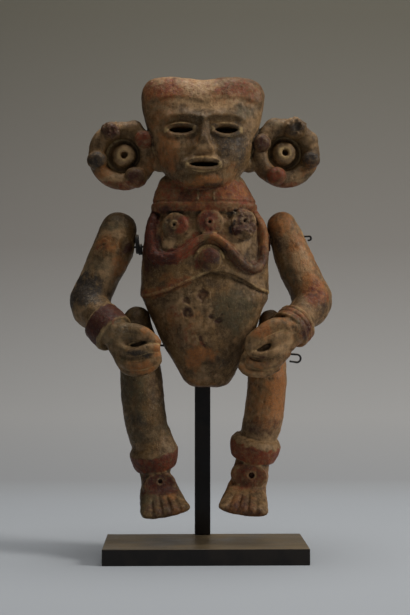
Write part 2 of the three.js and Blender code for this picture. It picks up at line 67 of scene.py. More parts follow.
# Level sections: height, then extent to left, right, front and back
SQUARENESS = 2.5
PELVIS = [
    (106, -5, 10.6, -2, 11.4), (107.4, -9.4, 13.8, -5.4, 13.8), (112, -14.2, 17.6, -8.4, 16.2),
    (124, -21.2, 24, -13.2, 20.4), (136, -27.9, 29.2, -16.2, 22.4), (147, -33, 33.5, -18, 23.4),
    (155, -36.4, 36.6, -18.8, 23.7), (161, -39.2, 39.4, -18.8, 23.7), (166, -39.4, 39.2, -18.2, 23.6),
    (186, -36.4, 37, -16, 22.6),
]
TUNIC = [
    (158, -38.6, 38.6, -20, 22), (162.6, -40.2, 39.9, -20.6, 23.2), (173, -40, 39.8, -20.2, 23.7),
    (186, -39.5, 39.7, -19.2, 23.7), (198, -38.2, 39.5, -18, 23.2), (208, -34.6, 37.8, -16.8, 21.6),
    (212, -31.2, 33.4, -15.9, 19.8), (216, -29, 30, -14.6, 17), (219, -27, 28, -13, 15),
]
COLLAR = [
    (212.4, -29, 29, -14.2, 15.4), (215, -32.8, 32, -17.2, 17.6), (218.2, -33.5, 32.7, -18.6, 18.6),
    (221, -33.1, 32.3, -18.3, 18.4), (223, -32.5, 31.4, -17.6, 18), (229, -30.9, 28.2, -16.4, 16.8),
    (236, -27.8, 24, -13.8, 14.8), (240, -23, 19.6, -9, 11),
]
HEAD_X = -1.3
HEAD_HALVES = [
    (228, 8, -18.6, -3), (230, 14.4, -20.6, 4), (235, 20.6, -21.8, 11), (243, 26.4, -21.8, 15.4),
    (254, 31, -21, 18), (264, 33.8, -20.4, 19), (274, 36.6, -19.6, 19), (284, 38.6, -17.8, 18),
    (291, 38.4, -15.6, 16), (296.4, 35.4, -12.6, 13), (299.4, 30, -8.6, 9), (300.8, 23, -4, 4.4),
]
HEAD = [(z, HEAD_X - half, HEAD_X + half, front, back) for z, half, front, back in HEAD_HALVES]
CROWN_DIP = {"depth": 2.4, "width": 12, "from": 284, "to": 299}
# The forehead band's lower edge: its height in the middle and at its two crests, how far out they are, and
# how many times as far out it ends
BAND = {"middle": 281.6, "crest": 285, "at": 15, "reach": 2.4, "rise": 0.9}

HEM = [(-46, 161.6), (-34, 162.4), (-23.5, 165.4), (-12, 170.6), (3.4, 177.4), (12, 176), (25.6, 170),
       (32, 166.6), (46, 161.6)]
HEM_GROOVE = [(7.5, 176.6, 0.6), (13, 175, 1.3), (19, 172.6, 1.7), (25, 169.6, 1.6), (31, 166.3, 1.3),
              (36, 163.9, 1.1), (39.6, 162.8, 0.9)]
COLLAR_GROOVE = {"z": 220.9, "radius": 0.8}
COLLAR_RIBS = {"x": (-4.8, 5), "from": 221.6, "to": 226.6, "radius": 0.5}

# The rope, as x, z and half its width, how far it stands out, and the grooves inside its two upright
# runs as x, z and radius
ROPE = [(-29.8, 215, 3.6), (-32.4, 205, 4.3), (-33.3, 194, 4.3), (-32.2, 188, 3.9), (-27.4, 185.4, 3.4),
        (-20.5, 186, 3), (-12.5, 190.4, 2.7), (-5.5, 195.8, 2.5), (2.6, 199, 2.4), (10.6, 195, 2.5),
        (17.5, 187.6, 2.6), (24, 181, 2.9), (30.2, 179, 3), (34.8, 183.4, 3), (36.2, 193, 2.9),
        (35.2, 204, 2.9), (30.6, 214, 2.8)]
ROPE_RISE = 3.2
ROPE_GROOVES = [
    [(32.2, 204.4, 0.5), (32.6, 199, 1.1), (32.6, 192, 1.2), (32, 186.4, 1), (30.6, 183.4, 0.4)],
    [(-26.6, 213, 0.5), (-28, 206, 1), (-28.4, 197, 1.1), (-27.4, 191.6, 0.9), (-24, 189.8, 0.4)],
]

# Chest discs as x, z and radius, how far they stand out, and the small ring round their holes
MEDALS = [(-18.8, 205.8, 8), (2.4, 207.5, 8.4), (23.4, 208, 7.9)]
MEDAL = {"rise": 2.3, "hole": 0.9, "ring": 2.1}
MEDAL_LOBE = ((23.2, -17.6, 201.4), (6.2, 3, 4.6))
NAVEL = {"x": 2.2, "z": 184.4, "radius": 7.2, "rise": 3.2, "ring": 8.5}

EAR = {"radius": 21.8, "rim": 5.3, "boss": 6.7, "hole": 2.3, "well": 11, "floor": -1.2, "dome": 4.6,
       "roundness": 2.1}
# "lobes" are places where more clay fills out a disc's outline, and "shift" moves the well sideways
LOBE = {"radii": (5.2, 4.6, 5), "blend": 2}
EARS = [
    {"at": (-51.8, 0, 250.9), "turn": -4, "shift": 1.2, "lobes": [(-28.2, -1, 245.6), (-44.6, -0.5, 268.4)],
     "pellets": (116, 34, 192, 299), "sizes": (6.5, 6, 6.6, 7.2),
     "paints": ("maroon", "red", "soot", "maroon")},
    {"at": (50.2, 0, 252.7), "turn": 5, "shift": -0.4,
     "lobes": [(27.4, -1, 245.6), (43, -0.5, 270), (65.4, -0.5, 261.6)],
     "pellets": (70, 161, 345, 247), "sizes": (7.4, 5.8, 5.6, 6.2),
     "paints": ("soot", "maroon", "soot", "red")},
]

# Shallow broken-out pits in the belly, as place, radius and depth
PITS = [((-2.2, -18.4, 162.4), 3.3, 0.9), ((-12.2, -18.1, 159.3), 1.7, 0.7), ((-11.3, -17.8, 152.3), 2.9, 1),
        ((3.1, -18.1, 149.7), 1.7, 0.8), ((7.5, -17.8, 147.1), 1.9, 0.9), ((9.8, -17.6, 150.4), 1.1, 0.6),
        ((-3.6, -15.8, 136), 1.5, 0.6), ((-0.4, -15.2, 131.6), 1, 0.5)]
# Encrusted places, as place, radius and height of the lumps
CRUSTS = [((23.4, -17.5, 207), 9, 0.75), ((15.2, -15.6, 213.6), 4.2, 1.3), ((17, -16.6, 205), 3, 0.8),
          ((-57.6, -7.4, 266), 7, 0.9), ((58, -9, 270), 7, 0.9)]

# Facial features on plain proportions: eyes about half way up the head, and the tip of the nose and the
# mouth about a third and two thirds of the way from there down to the chin
EYE = {"x": 14, "z": 264.4, "width": 15, "height": 4.6, "pocket": 15}
MOUTH = {"x": 0, "z": 242.6, "width": 18, "height": 3.8, "pocket": 15}
NOSE = {"top": 271, "tip": 253, "base": 250, "bridge": 1.5, "rise": 7, "root": 2.3, "wings": 5, "fade": 5}
BROW = {"z": 273.4, "middle": 13, "drop": 0.014, "rise": 2, "above": 3.6, "below": 1.7, "ends": (28, 22)}
# Rounded parts of the face: how far each stands out, its place to the side and half its width, and its
# height and half of how tall it is
FACE_FORMS = {
    "nose wing": (2.6, 5, 1.7, 252.6, 2.3),
    "eye socket": (-2.6, 14, 10, 265, 5.2),
    "eyeball": (2, 14, 8, 264.4, 4),
    "cheek": (1.9, 17, 9, 251, 7),
    "muzzle": (1.6, 0, 11, 242.6, 6),
    "groove over the lips": (-0.6, 0, 1, 247.6, 1.6),
    "dent under the lips": (-0.7, 0, 8, 237.4, 1.6),
    "chin": (2, 0, 8, 233, 3.2),
}
# How far in front of the face the cuts for the eyes and the mouth begin
SLIT_AHEAD = 20
# The edges round the eyes and the mouth: rise, how far beyond the opening, and softness
LIDS = {"rise": 1.3, "beyond": 1.5, "soft": 0.26}
LIPS = {"rise": 1.7, "beyond": 2, "soft": 0.3}
# The fold from each nose wing down past the mouth
FOLD = {"x": 8.2, "z": 249, "slope": 0.55, "depth": 0.6, "width": 1.2, "foot": (241, 244), "top": (251, 248)}
NOSTRIL = {"x": 2.9, "sunk": -4.4, "lift": 0.4, "radii": (1.3, 1.8, 1.1)}

# Limbs, as x, y, z and radius down the middle of each; an arm is its upper and its lower part
ARMS = {
    "right": [
        [(-54.7, 5, 204.8, 11.3), (-57.9, 5.4, 192, 12.9), (-65.4, 5.8, 176.3, 12.2),
         (-71.8, 4.6, 162, 12.1)],
        [(-71.9, 3, 158.4, 12.3), (-70.6, -0.6, 154.2, 12.1), (-66.4, -6, 150.8, 11),
         (-57.6, -15, 141.8, 9.8)],
    ],
    "left": [
        [(48.8, 5, 206.4, 9.6), (52, 5.2, 198.3, 10.7), (57.1, 5.6, 185, 11.8), (67.3, 4.6, 163, 12.1)],
        [(67.4, 2, 159.2, 12.3), (66, -1.6, 155.2, 11.7), (61.8, -6, 151.8, 10.4), (53.6, -15, 141.8, 9.8)],
    ],
}
# A hollow in the right arm's face, beside its spacer
GOUGE = {"at": (-49.6, -6.4, 194), "radii": (4.2, 3.6, 5.6)}
CUFF = {"radius": 13.7, "axis": (0.65, -0.48, -0.59), "rim": 0.3}
CUFFS = {
    "right": {"at": (-60.3, -11, 143.3), "width": 14.6, "grooves": (),
              "paints": {"maroon": 0.85, "red": 0.6}},
    "left": {"at": (54.6, -10.6, 144), "width": 10.6, "grooves": (-2.4, 0.9),
             "paints": {"maroon": 0.25, "red": 0.42}},
}
LEGS = {
    "right": [(-42.8, 6, 147.8, 8.6), (-41.6, 4.6, 132, 11.4), (-40.1, 4, 113.3, 12.9),
              (-38.8, 3, 97.5, 13.4), (-37.4, 2.4, 85, 13.1), (-35.4, 2.8, 74.6, 11.9),
              (-32.6, 3.4, 62, 10.6), (-31, 3.4, 48, 9.3)],
    "left": [(41.5, 7.4, 147.2, 7.2), (40.8, 5.6, 131, 10.2), (39.3, 4, 113.3, 12.3), (38.1, 3, 97.5, 12.3),
             (36.3, 2.4, 85, 12.3), (33.9, 2.8, 76, 11.6), (31.2, 3.4, 66.6, 10.7), (28.4, 3.4, 49, 11.2)],
}
ANKLET = {"width": 14.8, "dip": 0.2, "slope": 2.6, "rim": 0.3, "corner": 3.6}
# The right leg's swelling above its anklet
CALF = [(-32.2, 3.4, 74, 11.3), (-30.5, 3.4, 65.4, 13.7)]
ANKLETS = {
    "right": {"at": (-32.1, 3.4, 62.4), "radius": 14.9, "slip": 0.35,
              "paints": {"red": 0.7, "ochre": 0.2, "maroon": 0.5}},
    "left": {"at": (31.5, 3.4, 68), "radius": 15.8, "slip": 0.55,
             "paints": {"red": 0.7, "ochre": 0.5, "maroon": 0.15}},
}

# A hand is a thumb over a slot and three curled fingers under it, all as ridges on a rounded mitten.
# Places are from the hand's centre: ridges as x, y, z and radius, the slot as x, z and half its height.
HANDS = {
    "right": {
        "at": (-41.8, -21.4, 129.4),
        "mitten": [((-9.4, 3.2, 4.2), (8.8, 7.2, 9.4)), ((-0.1, 1.6, -2.2), (14.1, 6.4, 13.2)),
                   ((-6, 2.4, 7.6), (11, 6.4, 7.8)), ((-12, 4.4, 10), (7.4, 7.4, 7.4)),
                   ((8.2, -1, -4.4), (6.4, 4.8, 5.6))],
        "ridges": [
            [(-15, 1.6, 11.4, 4), (-9.5, -1.2, 12.8, 4), (-3.5, -2.6, 12.6, 3.8), (3.6, -3, 10.6, 3.5),
             (9, -3, 7.6, 3), (12.8, -2.6, 4.8, 2)],
            [(-9.4, -1.2, 8.4, 2.6), (-3, -3, 8.4, 2.5), (3.4, -3.9, 7.6, 2.4), (8.6, -3.9, 5.7, 2),
             (12.6, -3.3, 4.1, 1.5)],
            [(-11.4, 0.8, 7, 2.4), (-10.2, -1.4, 3.2, 2.5), (-7.2, -3.2, -0.2, 2.4), (-2.6, -4.4, -1.5, 2.4),
             (2.4, -4.9, -0.5, 2.5), (7, -4.8, 1.2, 2.6), (11.8, -4, 0.9, 2.4)],
            [(-10.7, 1.2, -4.4, 2.7), (-8.1, -1.2, -7.6, 2.8), (-4, -2.8, -9.4, 2.6), (2, -3.6, -9.4, 2.5),
             (7.6, -3.8, -7.4, 2.7), (12, -3, -4.4, 2.5)],
            [(-7.6, 1.4, -10.8, 2.6), (-3.6, -0.2, -13, 2.7), (2.6, -1, -13.2, 2.7), (8.6, -0.8, -10.4, 2.8),
             (12.6, -0.4, -6.4, 2.4)],
        ],
        "slot": [(-3.6, 2.4, 0.4), (-1.4, 2.6, 1), (1, 3.2, 1.2), (3.2, 4.1, 0.8), (4.8, 4.6, 0.4)],
        "dish": ((-5.2, -7, 3.4), (7, 4, 4)),
    },
    "left": {
        "at": (39.6, -21.4, 129.7),
        "mitten": [((8, 3.2, 6.4), (8.8, 7.2, 9.4)), ((-2.6, 1.5, 0), (13.4, 6.4, 14)),
                   ((-12.2, 2.2, -8), (6.8, 5, 7)), ((11, 4, 9.4), (7.4, 7.4, 7.4))],
        "ridges": [
            [(9.6, 1, 14.6, 4.4), (3.4, -1.2, 14.4, 4.6), (-3.4, -2.2, 11.4, 4.6), (-8.8, -2.6, 7, 4.2),
             (-12.6, -2.6, 1.8, 3.2)],
            [(8, -1.6, 9.8, 2.6), (2.4, -3.2, 7.8, 2.4), (-4, -4, 5, 2.2), (-9, -4, 1.6, 2),
             (-12.8, -3.4, -1.6, 1.6)],
            [(10, -0.6, 5.4, 3), (6.2, -3, 0.6, 2.7), (1, -4.4, -2.2, 2.5), (-5, -4.9, -3.5, 2.3),
             (-11.2, -4.2, -2.9, 2)],
            [(9.4, 1, -2.8, 2.9), (4.6, -1.2, -7, 2.7), (-0.8, -2.7, -9.4, 2.5), (-6.8, -3.3, -9.8, 2.4),
             (-13, -2.8, -8, 2.3)],
            [(3.6, 1.2, -11.2, 2.7), (-2, -0.2, -14, 2.7), (-8, -0.8, -14.8, 2.8), (-14.4, -0.6, -14, 2.8),
             (-17.6, 0.2, -10.8, 2.3)],
        ],
        "slot": [(-8.2, -0.9, 0.5), (-6.4, -0.3, 1.3), (-4.2, 0.7, 1.7), (-2.2, 1.8, 1.3), (-0.6, 2.9, 0.5)],
        "dish": ((-1.6, -7.4, 2.6), (6.4, 4, 4)),
    },
}

# A foot as distance ahead of the ankle, half width, top and sole below the ankle
FOOT = [(-12, 6, -9, -17), (-9, 9.8, -3, -20), (0, 11.9, 3, -20.4), (8, 13.4, -3.4, -20.6),
        (16, 14.8, -9, -20.6), (21.4, 15.2, -12.6, -20.4), (24.4, 14, -14.6, -19)]
# Its place, and the pierced boss on it: place across and above the ankle, half sizes, its hole's place,
# radius and depth, and how much slip rings the hole and maroon covers the boss
FEET = {
    "right": {"at": (-29.8, 3, 47.4), "roll": -9, "turn": 8, "boss": (0, -1.2), "size": (10.6, 7.4),
              "hole": (0.6, 1.6), "bore": 1.2, "deep": 2, "ring": 0.1, "maroon": 0.75},
    "left": {"at": (27.6, 3, 48.8), "roll": 6.5, "turn": -8, "boss": (0.8, 2.4), "size": (11.6, 7.6),
             "hole": (1.2, 0.8), "bore": 1.6, "deep": 2.6, "ring": 0.8, "maroon": 0.4},
}
BOSS = {"rise": 0.8, "ahead": -8.6}
TOES = {"count": 5, "path": [(9.8, 12.6, -6.2, 0.3), (12.6, 18.4, -10.7, 1.1), (14, 24.4, -14.6, 1.3),
                             (14, 25.6, -21, 1.3)]}

# How fine the clay surfaces are, and how far around a form its distances are worked out
BODY_STEP = 0.62
LIMB_STEP = 0.52
FITTING_STEP = 0.2
RING_POINTS = 64
MOST_FACES = 190000
MARGIN = 4
FAR = 60

# How far from the surface the masks for sheltered places, seams and edges look; the first two carry painted
# shade
SHELTER_REACH = 2.4
SEAM_REACH = 1.0
EDGE_REACH = 2.0

# Random fields repeat after so many cells, and the shift keeps places in them above 0
CELLS = 48
LATTICE_SHIFT = 500
NOISE_GAIN = 2.6
NO_SPOT = 9.0


# Arithmetic

def ramp(low, high, value):
    """Smooth step from 0 at low to 1 at high"""
    t = np.clip((value - low) / (high - low), 0, 1)
    return t * t * (3 - 2 * t)


def bump(distance, width):
    return np.exp(-((distance / width) ** 2))


def smooth_min(a, b, blend):
    if not blend:
        return np.minimum(a, b)
    share = np.clip(0.5 + 0.5 * (b - a) / blend, 0, 1)
    return b + (a - b) * share - blend * share * (1 - share)


def smooth_max(a, b, blend):
    return -smooth_min(-a, -b, blend)


def unit(vector):
    vector = np.asarray(vector, float)
    return vector / np.linalg.norm(vector)


def through(points, steps):
    """Smooth curve through points of any number of values each"""
    p = np.array(points, float)
    p = np.vstack([2 * p[0] - p[1], p, 2 * p[-1] - p[-2]])
    t = np.linspace(0, 1, steps, endpoint=False)[:, None]
    spans = [
        0.5 * (2 * b + (c - a) * t + (2 * a - 5 * b + 4 * c - d) * t**2 + (3 * b - a - 3 * c + d) * t**3)
        for a, b, c, d in zip(p, p[1:], p[2:], p[3:])
    ]
    return np.vstack([*spans, p[-2:-1]])


def section_at(stations, z):
    """Left, right, front and back of a lofted form at heights z"""
    table = np.array(stations, float)
    knots = table[:, 0]
    z = np.clip(z, knots[0], knots[-1])
    k = np.clip(np.searchsorted(knots, z, side="right") - 1, 0, len(knots) - 2)
    span = knots[k + 1] - knots[k]
    t = (z - knots[k]) / span
    values = []
    for column in table.T[1:]:
        wide = (np.r_[column[1:], column[-1]] - np.r_[column[0], column[:-1]])
        slope = wide / (np.r_[knots[1:], knots[-1]] - np.r_[knots[0], knots[:-1]])
        values.append(
            (2 * t**3 - 3 * t**2 + 1) * column[k] + (t**3 - 2 * t**2 + t) * slope[k] * span
            + (3 * t**2 - 2 * t**3) * column[k + 1] + (t**3 - t**2) * slope[k + 1] * span
        )
    return values


def front_of(stations, x, z):
    """The y of a lofted form's front surface"""
    left, right, front, back = section_at(stations, z)
    across = np.minimum(np.abs((x - (left + right) / 2) / ((right - left) / 2)), 0.985)
    return (front + back) / 2 - (back - front) / 2 * (1 - across**SQUARENESS) ** (1 / SQUARENESS)


# Random fields

def noise(points, size, seed):
    """Smooth random values, mostly from -1 to 1, that change over "size" millimetres"""
    lattice = np.random.default_rng(seed).uniform(-1, 1, (CELLS,) * 3)
    place = points / size + LATTICE_SHIFT + 0.5
    base = np.floor(place).astype(int)
    t = place - base - 0.5
    weights = [0.5 * (0.5 - t) ** 2, 0.75 - t * t, 0.5 * (0.5 + t) ** 2]
    total = np.zeros(len(points))
    for i, j, k in product(range(3), repeat=3):
        weight = weights[i][:, 0] * weights[j][:, 1] * weights[k][:, 2]
        cell = (base + (i - 1, j - 1, k - 1)) % CELLS
        total += weight * lattice[tuple(cell.T)]
    return total * NOISE_GAIN


def spots(points, size, seed, share):
    """Distance over "size" to the nearest middle of a round spot; a share of a jittered lattice has spots"""
    rng = np.random.default_rng(seed)
    jitter = rng.uniform(0.15, 0.85, (CELLS, CELLS, CELLS, 3))
    here = rng.uniform(0, 1, (CELLS,) * 3) < share
    place = points / size + LATTICE_SHIFT
    base = np.floor(place).astype(int)
    nearest = np.full(len(points), NO_SPOT)
    for step in product((-1, 0, 1), repeat=3):
        cell = base + step
        key = tuple((cell % CELLS).T)
        away = np.linalg.norm(cell + jitter[key] - place, axis=1)
        nearest = np.minimum(nearest, np.where(here[key], away, NO_SPOT))
    return nearest


# Clay as distances on a grid: negative inside

class Clay:
    def __init__(self, low, high, step):
        self.step = step
        self.low = np.array(low, float)
        self.axes = [np.arange(a, b, step) for a, b in zip(low, high)]
        self.field = np.full([len(axis) for axis in self.axes], FAR, np.float32)

    def window(self, low, high):
        cut = tuple(slice(*np.searchsorted(axis, (a, b))) for axis, a, b in zip(self.axes, low, high))
        x, y, z = (axis[part] for axis, part in zip(self.axes, cut))
        return cut, x[:, None, None], y[None, :, None], z[None, None, :]

    def join(self, form, blend, meet, sign):
        shape, low, high = form
        cut, x, y, z = self.window(np.subtract(low, MARGIN), np.add(high, MARGIN))
        self.field[cut] = meet(self.field[cut], sign * shape(x, y, z), blend)

    def add(self, form, blend=0.0):
        self.join(form, blend, smooth_min, 1)

    def carve(self, form, blend=0.0):
        self.join(form, blend, smooth_max, -1)

    def sample(self, points):
        limit = np.array(self.field.shape) - 2
        place = (points - self.low) / self.step
        base = np.clip(np.floor(place).astype(int), 0, limit)
        t = place - base
        total = np.zeros(len(points))
        for corner in product((0, 1), repeat=3):
            weight = np.prod(np.abs(1 - np.array(corner) - t), axis=1)
            total += weight * self.field[tuple((base + corner).T)]
        return total

    def surface(self):
        reach = 3 * self.step
        grid = openvdb.FloatGrid(reach)
        grid.copyFromArray(np.clip(self.field, -reach, reach))
        points, quads = grid.convertToQuads(0.0)
        points = points.astype(float) * self.step + self.low
        corners = points[quads]
        volume = np.einsum("ij,ij->i", corners[:, 0], np.cross(corners[:, 1], corners[:, 2])).sum()
        return points, quads.astype(np.int32) if volume > 0 else quads[:, ::-1].astype(np.int32)


# Forms: a distance function and the corners of the space that it fills

def loft(stations, ends=2.0, warp=None):
    table = np.array(stations, float)
    low = (table[:, 1].min(), table[:, 3].min(), table[0, 0])
    high = (table[:, 2].max(), table[:, 4].max(), table[-1, 0])

    def shape(x, y, z):
        if warp is not None:
            x, y, z = warp(x, y, z)
        left, right, front, back = section_at(stations, z)
        half_x = (right - left) / 2
        half_y = (back - front) / 2
        u = np.abs((x - (left + right) / 2) / half_x) + 1e-4
        v = np.abs((y - (front + back) / 2) / half_y) + 1e-4
        level = (u**SQUARENESS + v**SQUARENESS) ** (1 / SQUARENESS)
        steep_u = u ** (SQUARENESS - 1) / half_x
        steep_v = v ** (SQUARENESS - 1) / half_y
        slope = level ** (1 - SQUARENESS) * np.sqrt(steep_u**2 + steep_v**2)
        side = (level - 1) / np.maximum(slope, 1e-3)
        return smooth_max(side, np.maximum(low[2] - z, z - high[2]), ends)

    return shape, low, high


def tube(path):
    """Round bar along points that each carry a radius"""
    path = np.array(path, float)
    reach = path[:, 3:].max()

    def shape(x, y, z):
        nearest = None
        for a, b in zip(path, path[1:]):
            step = b[:3] - a[:3]
            dx, dy, dz = x - a[0], y - a[1], z - a[2]
            t = np.clip((dx * step[0] + dy * step[1] + dz * step[2]) / (step @ step), 0, 1)
            away = np.sqrt((dx - t * step[0]) ** 2 + (dy - t * step[1]) ** 2 + (dz - t * step[2]) ** 2)
            away = away - (a[3] + (b[3] - a[3]) * t)
            nearest = away if nearest is None else np.minimum(nearest, away)
        return nearest

    return shape, path[:, :3].min(0) - reach, path[:, :3].max(0) + reach


def ball(centre, radii):
    radii = np.broadcast_to(np.array(radii, float), 3)

    def shape(x, y, z):
        u, v, w = ((value - c) / r for value, c, r in zip((x, y, z), centre, radii))
        level = np.sqrt(u * u + v * v + w * w) + 1e-6
        slope = np.sqrt((u / radii[0]) ** 2 + (v / radii[1]) ** 2 + (w / radii[2]) ** 2) / level
        return (level - 1) / np.maximum(slope, 1e-3)

    return shape, np.subtract(centre, radii), np.add(centre, radii)


def turned(centre, axis, profile, reach):
    """Form whose distance depends on the radius from an axis and the height along it"""
    axis = unit(axis)

    def shape(x, y, z):
        dx, dy, dz = x - centre[0], y - centre[1], z - centre[2]
        along = dx * axis[0] + dy * axis[1] + dz * axis[2]
        radius = np.sqrt(np.maximum(dx * dx + dy * dy + dz * dz - along * along, 0))
        return profile(radius, along)

    return shape, np.subtract(centre, reach), np.add(centre, reach)


def oval(u, v, half_u, half_v, power):
    """Distance to a rounded oval in a plane"""
    level = (np.abs(u / half_u) ** power + np.abs(v / half_v) ** power) ** (1 / power)
    return (level - 1) * min(half_u, half_v)


def drum(radius, low, high, soft):
    """Profile of a flat round block with soft edges"""
    return lambda r, h: smooth_max(r - radius, np.maximum(low - h, h - high), soft)


# Body

def almond(u, z, feature, grow):
    """1 on the outline of an eye's or mouth's opening that is made larger by "grow", and less inside"""
    across = (u - feature["x"]) / (feature["width"] / 2 + grow)
    up = (z - feature["z"]) / (feature["height"] / 2 + grow)
    return np.hypot(across, up)


def edging(u, z, feature, edge):
    return edge["rise"] * bump(almond(u, z, feature, edge["beyond"]) - 1, edge["soft"])


def face_relief(u, z):
    """How far the face stands out from the plain head, "u" to the side of its middle and at height z"""
    side = np.abs(u)
    along = np.clip((NOSE["top"] - z) / (NOSE["top"] - NOSE["tip"]), 0, 1)
    half = NOSE["root"] + (NOSE["wings"] - NOSE["root"]) * along**1.5
    crest = NOSE["bridge"] + (NOSE["rise"] - NOSE["bridge"]) * along**1.2
    under = ramp(NOSE["base"] - 0.6, NOSE["base"] + 2, z)
    above = np.where(z < NOSE["top"], 1, bump(z - NOSE["top"], NOSE["fade"]))
    nose = crest * ramp(half * 1.3, half * 0.3, side) * under * above
    arch = z - BROW["z"] + BROW["drop"] * (side - BROW["middle"]) ** 2
    height = np.where(arch > 0, BROW["above"], BROW["below"])
    brow = BROW["rise"] * bump(arch, height) * ramp(*BROW["ends"], side)
    beside = side - FOLD["x"] - (FOLD["z"] - z) * FOLD["slope"]
    fold = -FOLD["depth"] * bump(beside, FOLD["width"]) * ramp(*FOLD["foot"], z) * ramp(*FOLD["top"], z)
    rounded = sum(rise * bump(side - out, wide) * bump(z - level, tall)
                  for rise, out, wide, level, tall in FACE_FORMS.values())
    return nose + brow + fold + rounded + edging(side, z, EYE, LIDS) + edging(u, z, MOUTH, LIPS)


def band_edge(u):
    """Height of the forehead band's lower edge"""
    swing = np.clip(np.abs(u) / BAND["at"], 0, BAND["reach"])
    return BAND["middle"] + (BAND["crest"] - BAND["middle"]) * np.sin(swing * math.pi / BAND["reach"]) ** 0.8


def head_form():
    def warp(x, y, z):
        u = x - HEAD_X
        high = ramp(CROWN_DIP["from"], CROWN_DIP["to"], z)
        raised = z + CROWN_DIP["depth"] * high * bump(u, CROWN_DIP["width"])
        relief = face_relief(u, z) + BAND["rise"] * ramp(-1.6, 1.2, z - band_edge(u))
        return x, y + relief * ramp(2, -6, y), raised

    return loft(HEAD, ends=3.5, warp=warp)


def slit(feature, x):
    """Lens-shaped opening into the head"""
    surface = front_of(HEAD, HEAD_X + x, feature["z"])
    half_width, half_height = feature["width"] / 2, feature["height"] / 2
    half_depth = (SLIT_AHEAD + feature["pocket"]) / 2

    def shape(px, py, pz):
        u = (px - HEAD_X - x) / half_width
        half = half_height * np.clip(1 - u * u, 0, 1)
        side = np.abs(pz - feature["z"]) - half
        depth = np.abs(py - surface + SLIT_AHEAD - half_depth) - half_depth
        return np.maximum(np.maximum(side, (np.abs(u) - 1) * half_width), depth) + 0 * py

    low = (HEAD_X + x - half_width, surface - SLIT_AHEAD, feature["z"] - half_height)
    high = (HEAD_X + x + half_width, surface + feature["pocket"], feature["z"] + half_height)
    return shape, low, high


def ear_frame(ear):
    angle = math.radians(ear["turn"])
    forward = np.array((math.sin(angle), -math.cos(angle), 0))
    across = np.array((math.cos(angle), math.sin(angle), 0))
    return np.array(ear["at"], float), forward, across


def pellet_places(ear):
    centre, forward, across = ear_frame(ear)
    crest = EAR["radius"] - EAR["rim"]
    for pellet in map(math.radians, ear["pellets"]):
        out = across * math.cos(pellet) + np.array((0, 0, math.sin(pellet)))
        yield centre + across * ear["shift"] / 2 + out * crest + forward * EAR["rim"] * 0.95


def add_ear(clay, ear):
    centre, forward, across = ear_frame(ear)
    radius, rim, boss, hole, well = (EAR[key] for key in ("radius", "rim", "boss", "hole", "well"))
    middle = (radius + well) / 2
    inner = centre + across * ear["shift"]
    floor = drum(well + 1, -5, EAR["floor"], 1)

    def ring(r, h):
        return oval(r - middle, h, (radius - well) / 2, rim, EAR["roundness"])

    def dome(r, h):
        return smooth_max(r - boss - (3 - h) * 0.3, np.maximum(-4 - h, h - EAR["dome"] + 0.03 * r * r), 2)

    clay.add(turned(centre, forward, ring, radius + 3), 1.6)
    for lobe in ear["lobes"]:
        clay.add(ball(lobe, LOBE["radii"]), LOBE["blend"])
    clay.add(turned(inner, forward, floor, well + 3), 2.4)
    clay.add(turned(inner, forward, dome, boss + 4), 2.2)
    for place, size in zip(pellet_places(ear), ear["sizes"]):
        clay.add(ball(place, (size, 5.4, size * 0.92)), 0.6)
        clay.carve(ball(place + forward * 6.4, (size * 0.7, 1.7, size * 0.66)), 0.8)
    clay.carve(turned(inner, forward, drum(hole, -4.2, 12, 0.6), radius), 0.7)


def tunic_form():
    tunic, low, high = loft(TUNIC)
    edge = np.array(HEM, float)

    def shape(x, y, z):
        return smooth_max(tunic(x, y, z), np.interp(x, edge[:, 0], edge[:, 1]) - z, 0.8)

    return shape, low, high


def on_front(stations, path, sink=0.0):
    """Places x and z on a form's front, with anything after them kept"""
    return [(x, float(front_of(stations, x, z)) + sink, z, *rest) for x, z, *rest in path]


def around(stations, z, radius):
    """Ring of places on a lofted form's surface at one height"""
    left, right, front, back = (float(value) for value in section_at(stations, z))
    turns = np.linspace(0, 2 * math.pi, RING_POINTS)
    u, v = np.cos(turns), np.sin(turns)
    u = np.sign(u) * np.abs(u) ** (2 / SQUARENESS)
    v = np.sign(v) * np.abs(v) ** (2 / SQUARENESS)
    x = (left + right) / 2 + u * (right - left) / 2
    y = (front + back) / 2 + v * (back - front) / 2
    return [(px, py, z, radius) for px, py in zip(x, y)]


def medal_profile(radius):
    def profile(r, h):
        top = MEDAL["rise"] - 0.012 * r * r + 0.5 * bump(r - MEDAL["ring"], 0.8)
        return smooth_max(r - radius, np.maximum(-3 - h, h - top), 1.1)

    return profile


def add_medals(clay):
    clay.add(ball(*MEDAL_LOBE), 1.2)
    for x, z, radius in MEDALS:
        centre = np.array(on_front(TUNIC, [(x, z)])[0])
        forward = unit((x * 0.012, -1, 0.1))
        clay.add(turned(centre, forward, medal_profile(radius), 14), 0.7)
        clay.carve(turned(centre, forward, drum(MEDAL["hole"], 0.4, 9, 0.3), 14), 0.4)


def add_rope(clay):
    laid = on_front(TUNIC, through(ROPE, 6))
    clay.add(tube([(x, y + radius - ROPE_RISE, z, radius) for x, y, z, radius in laid]), 0.4)
    for groove in ROPE_GROOVES:
        clay.carve(tube(through(on_front(TUNIC, groove, 0), 4)), 0.5)


def add_navel(clay):
    x, z = NAVEL["x"], NAVEL["z"]
    centre = on_front(TUNIC, [(x, z)])[0]
    clay.add(ball(centre, (NAVEL["radius"], NAVEL["rise"], NAVEL["radius"])), 0.6)
    arc = [(x + NAVEL["ring"] * math.cos(a), z + NAVEL["ring"] * math.sin(a), 1.1)
           for a in np.radians(np.linspace(10, 175, 16))]
    clay.add(tube(on_front(TUNIC, arc, 0.1)), 0.7)


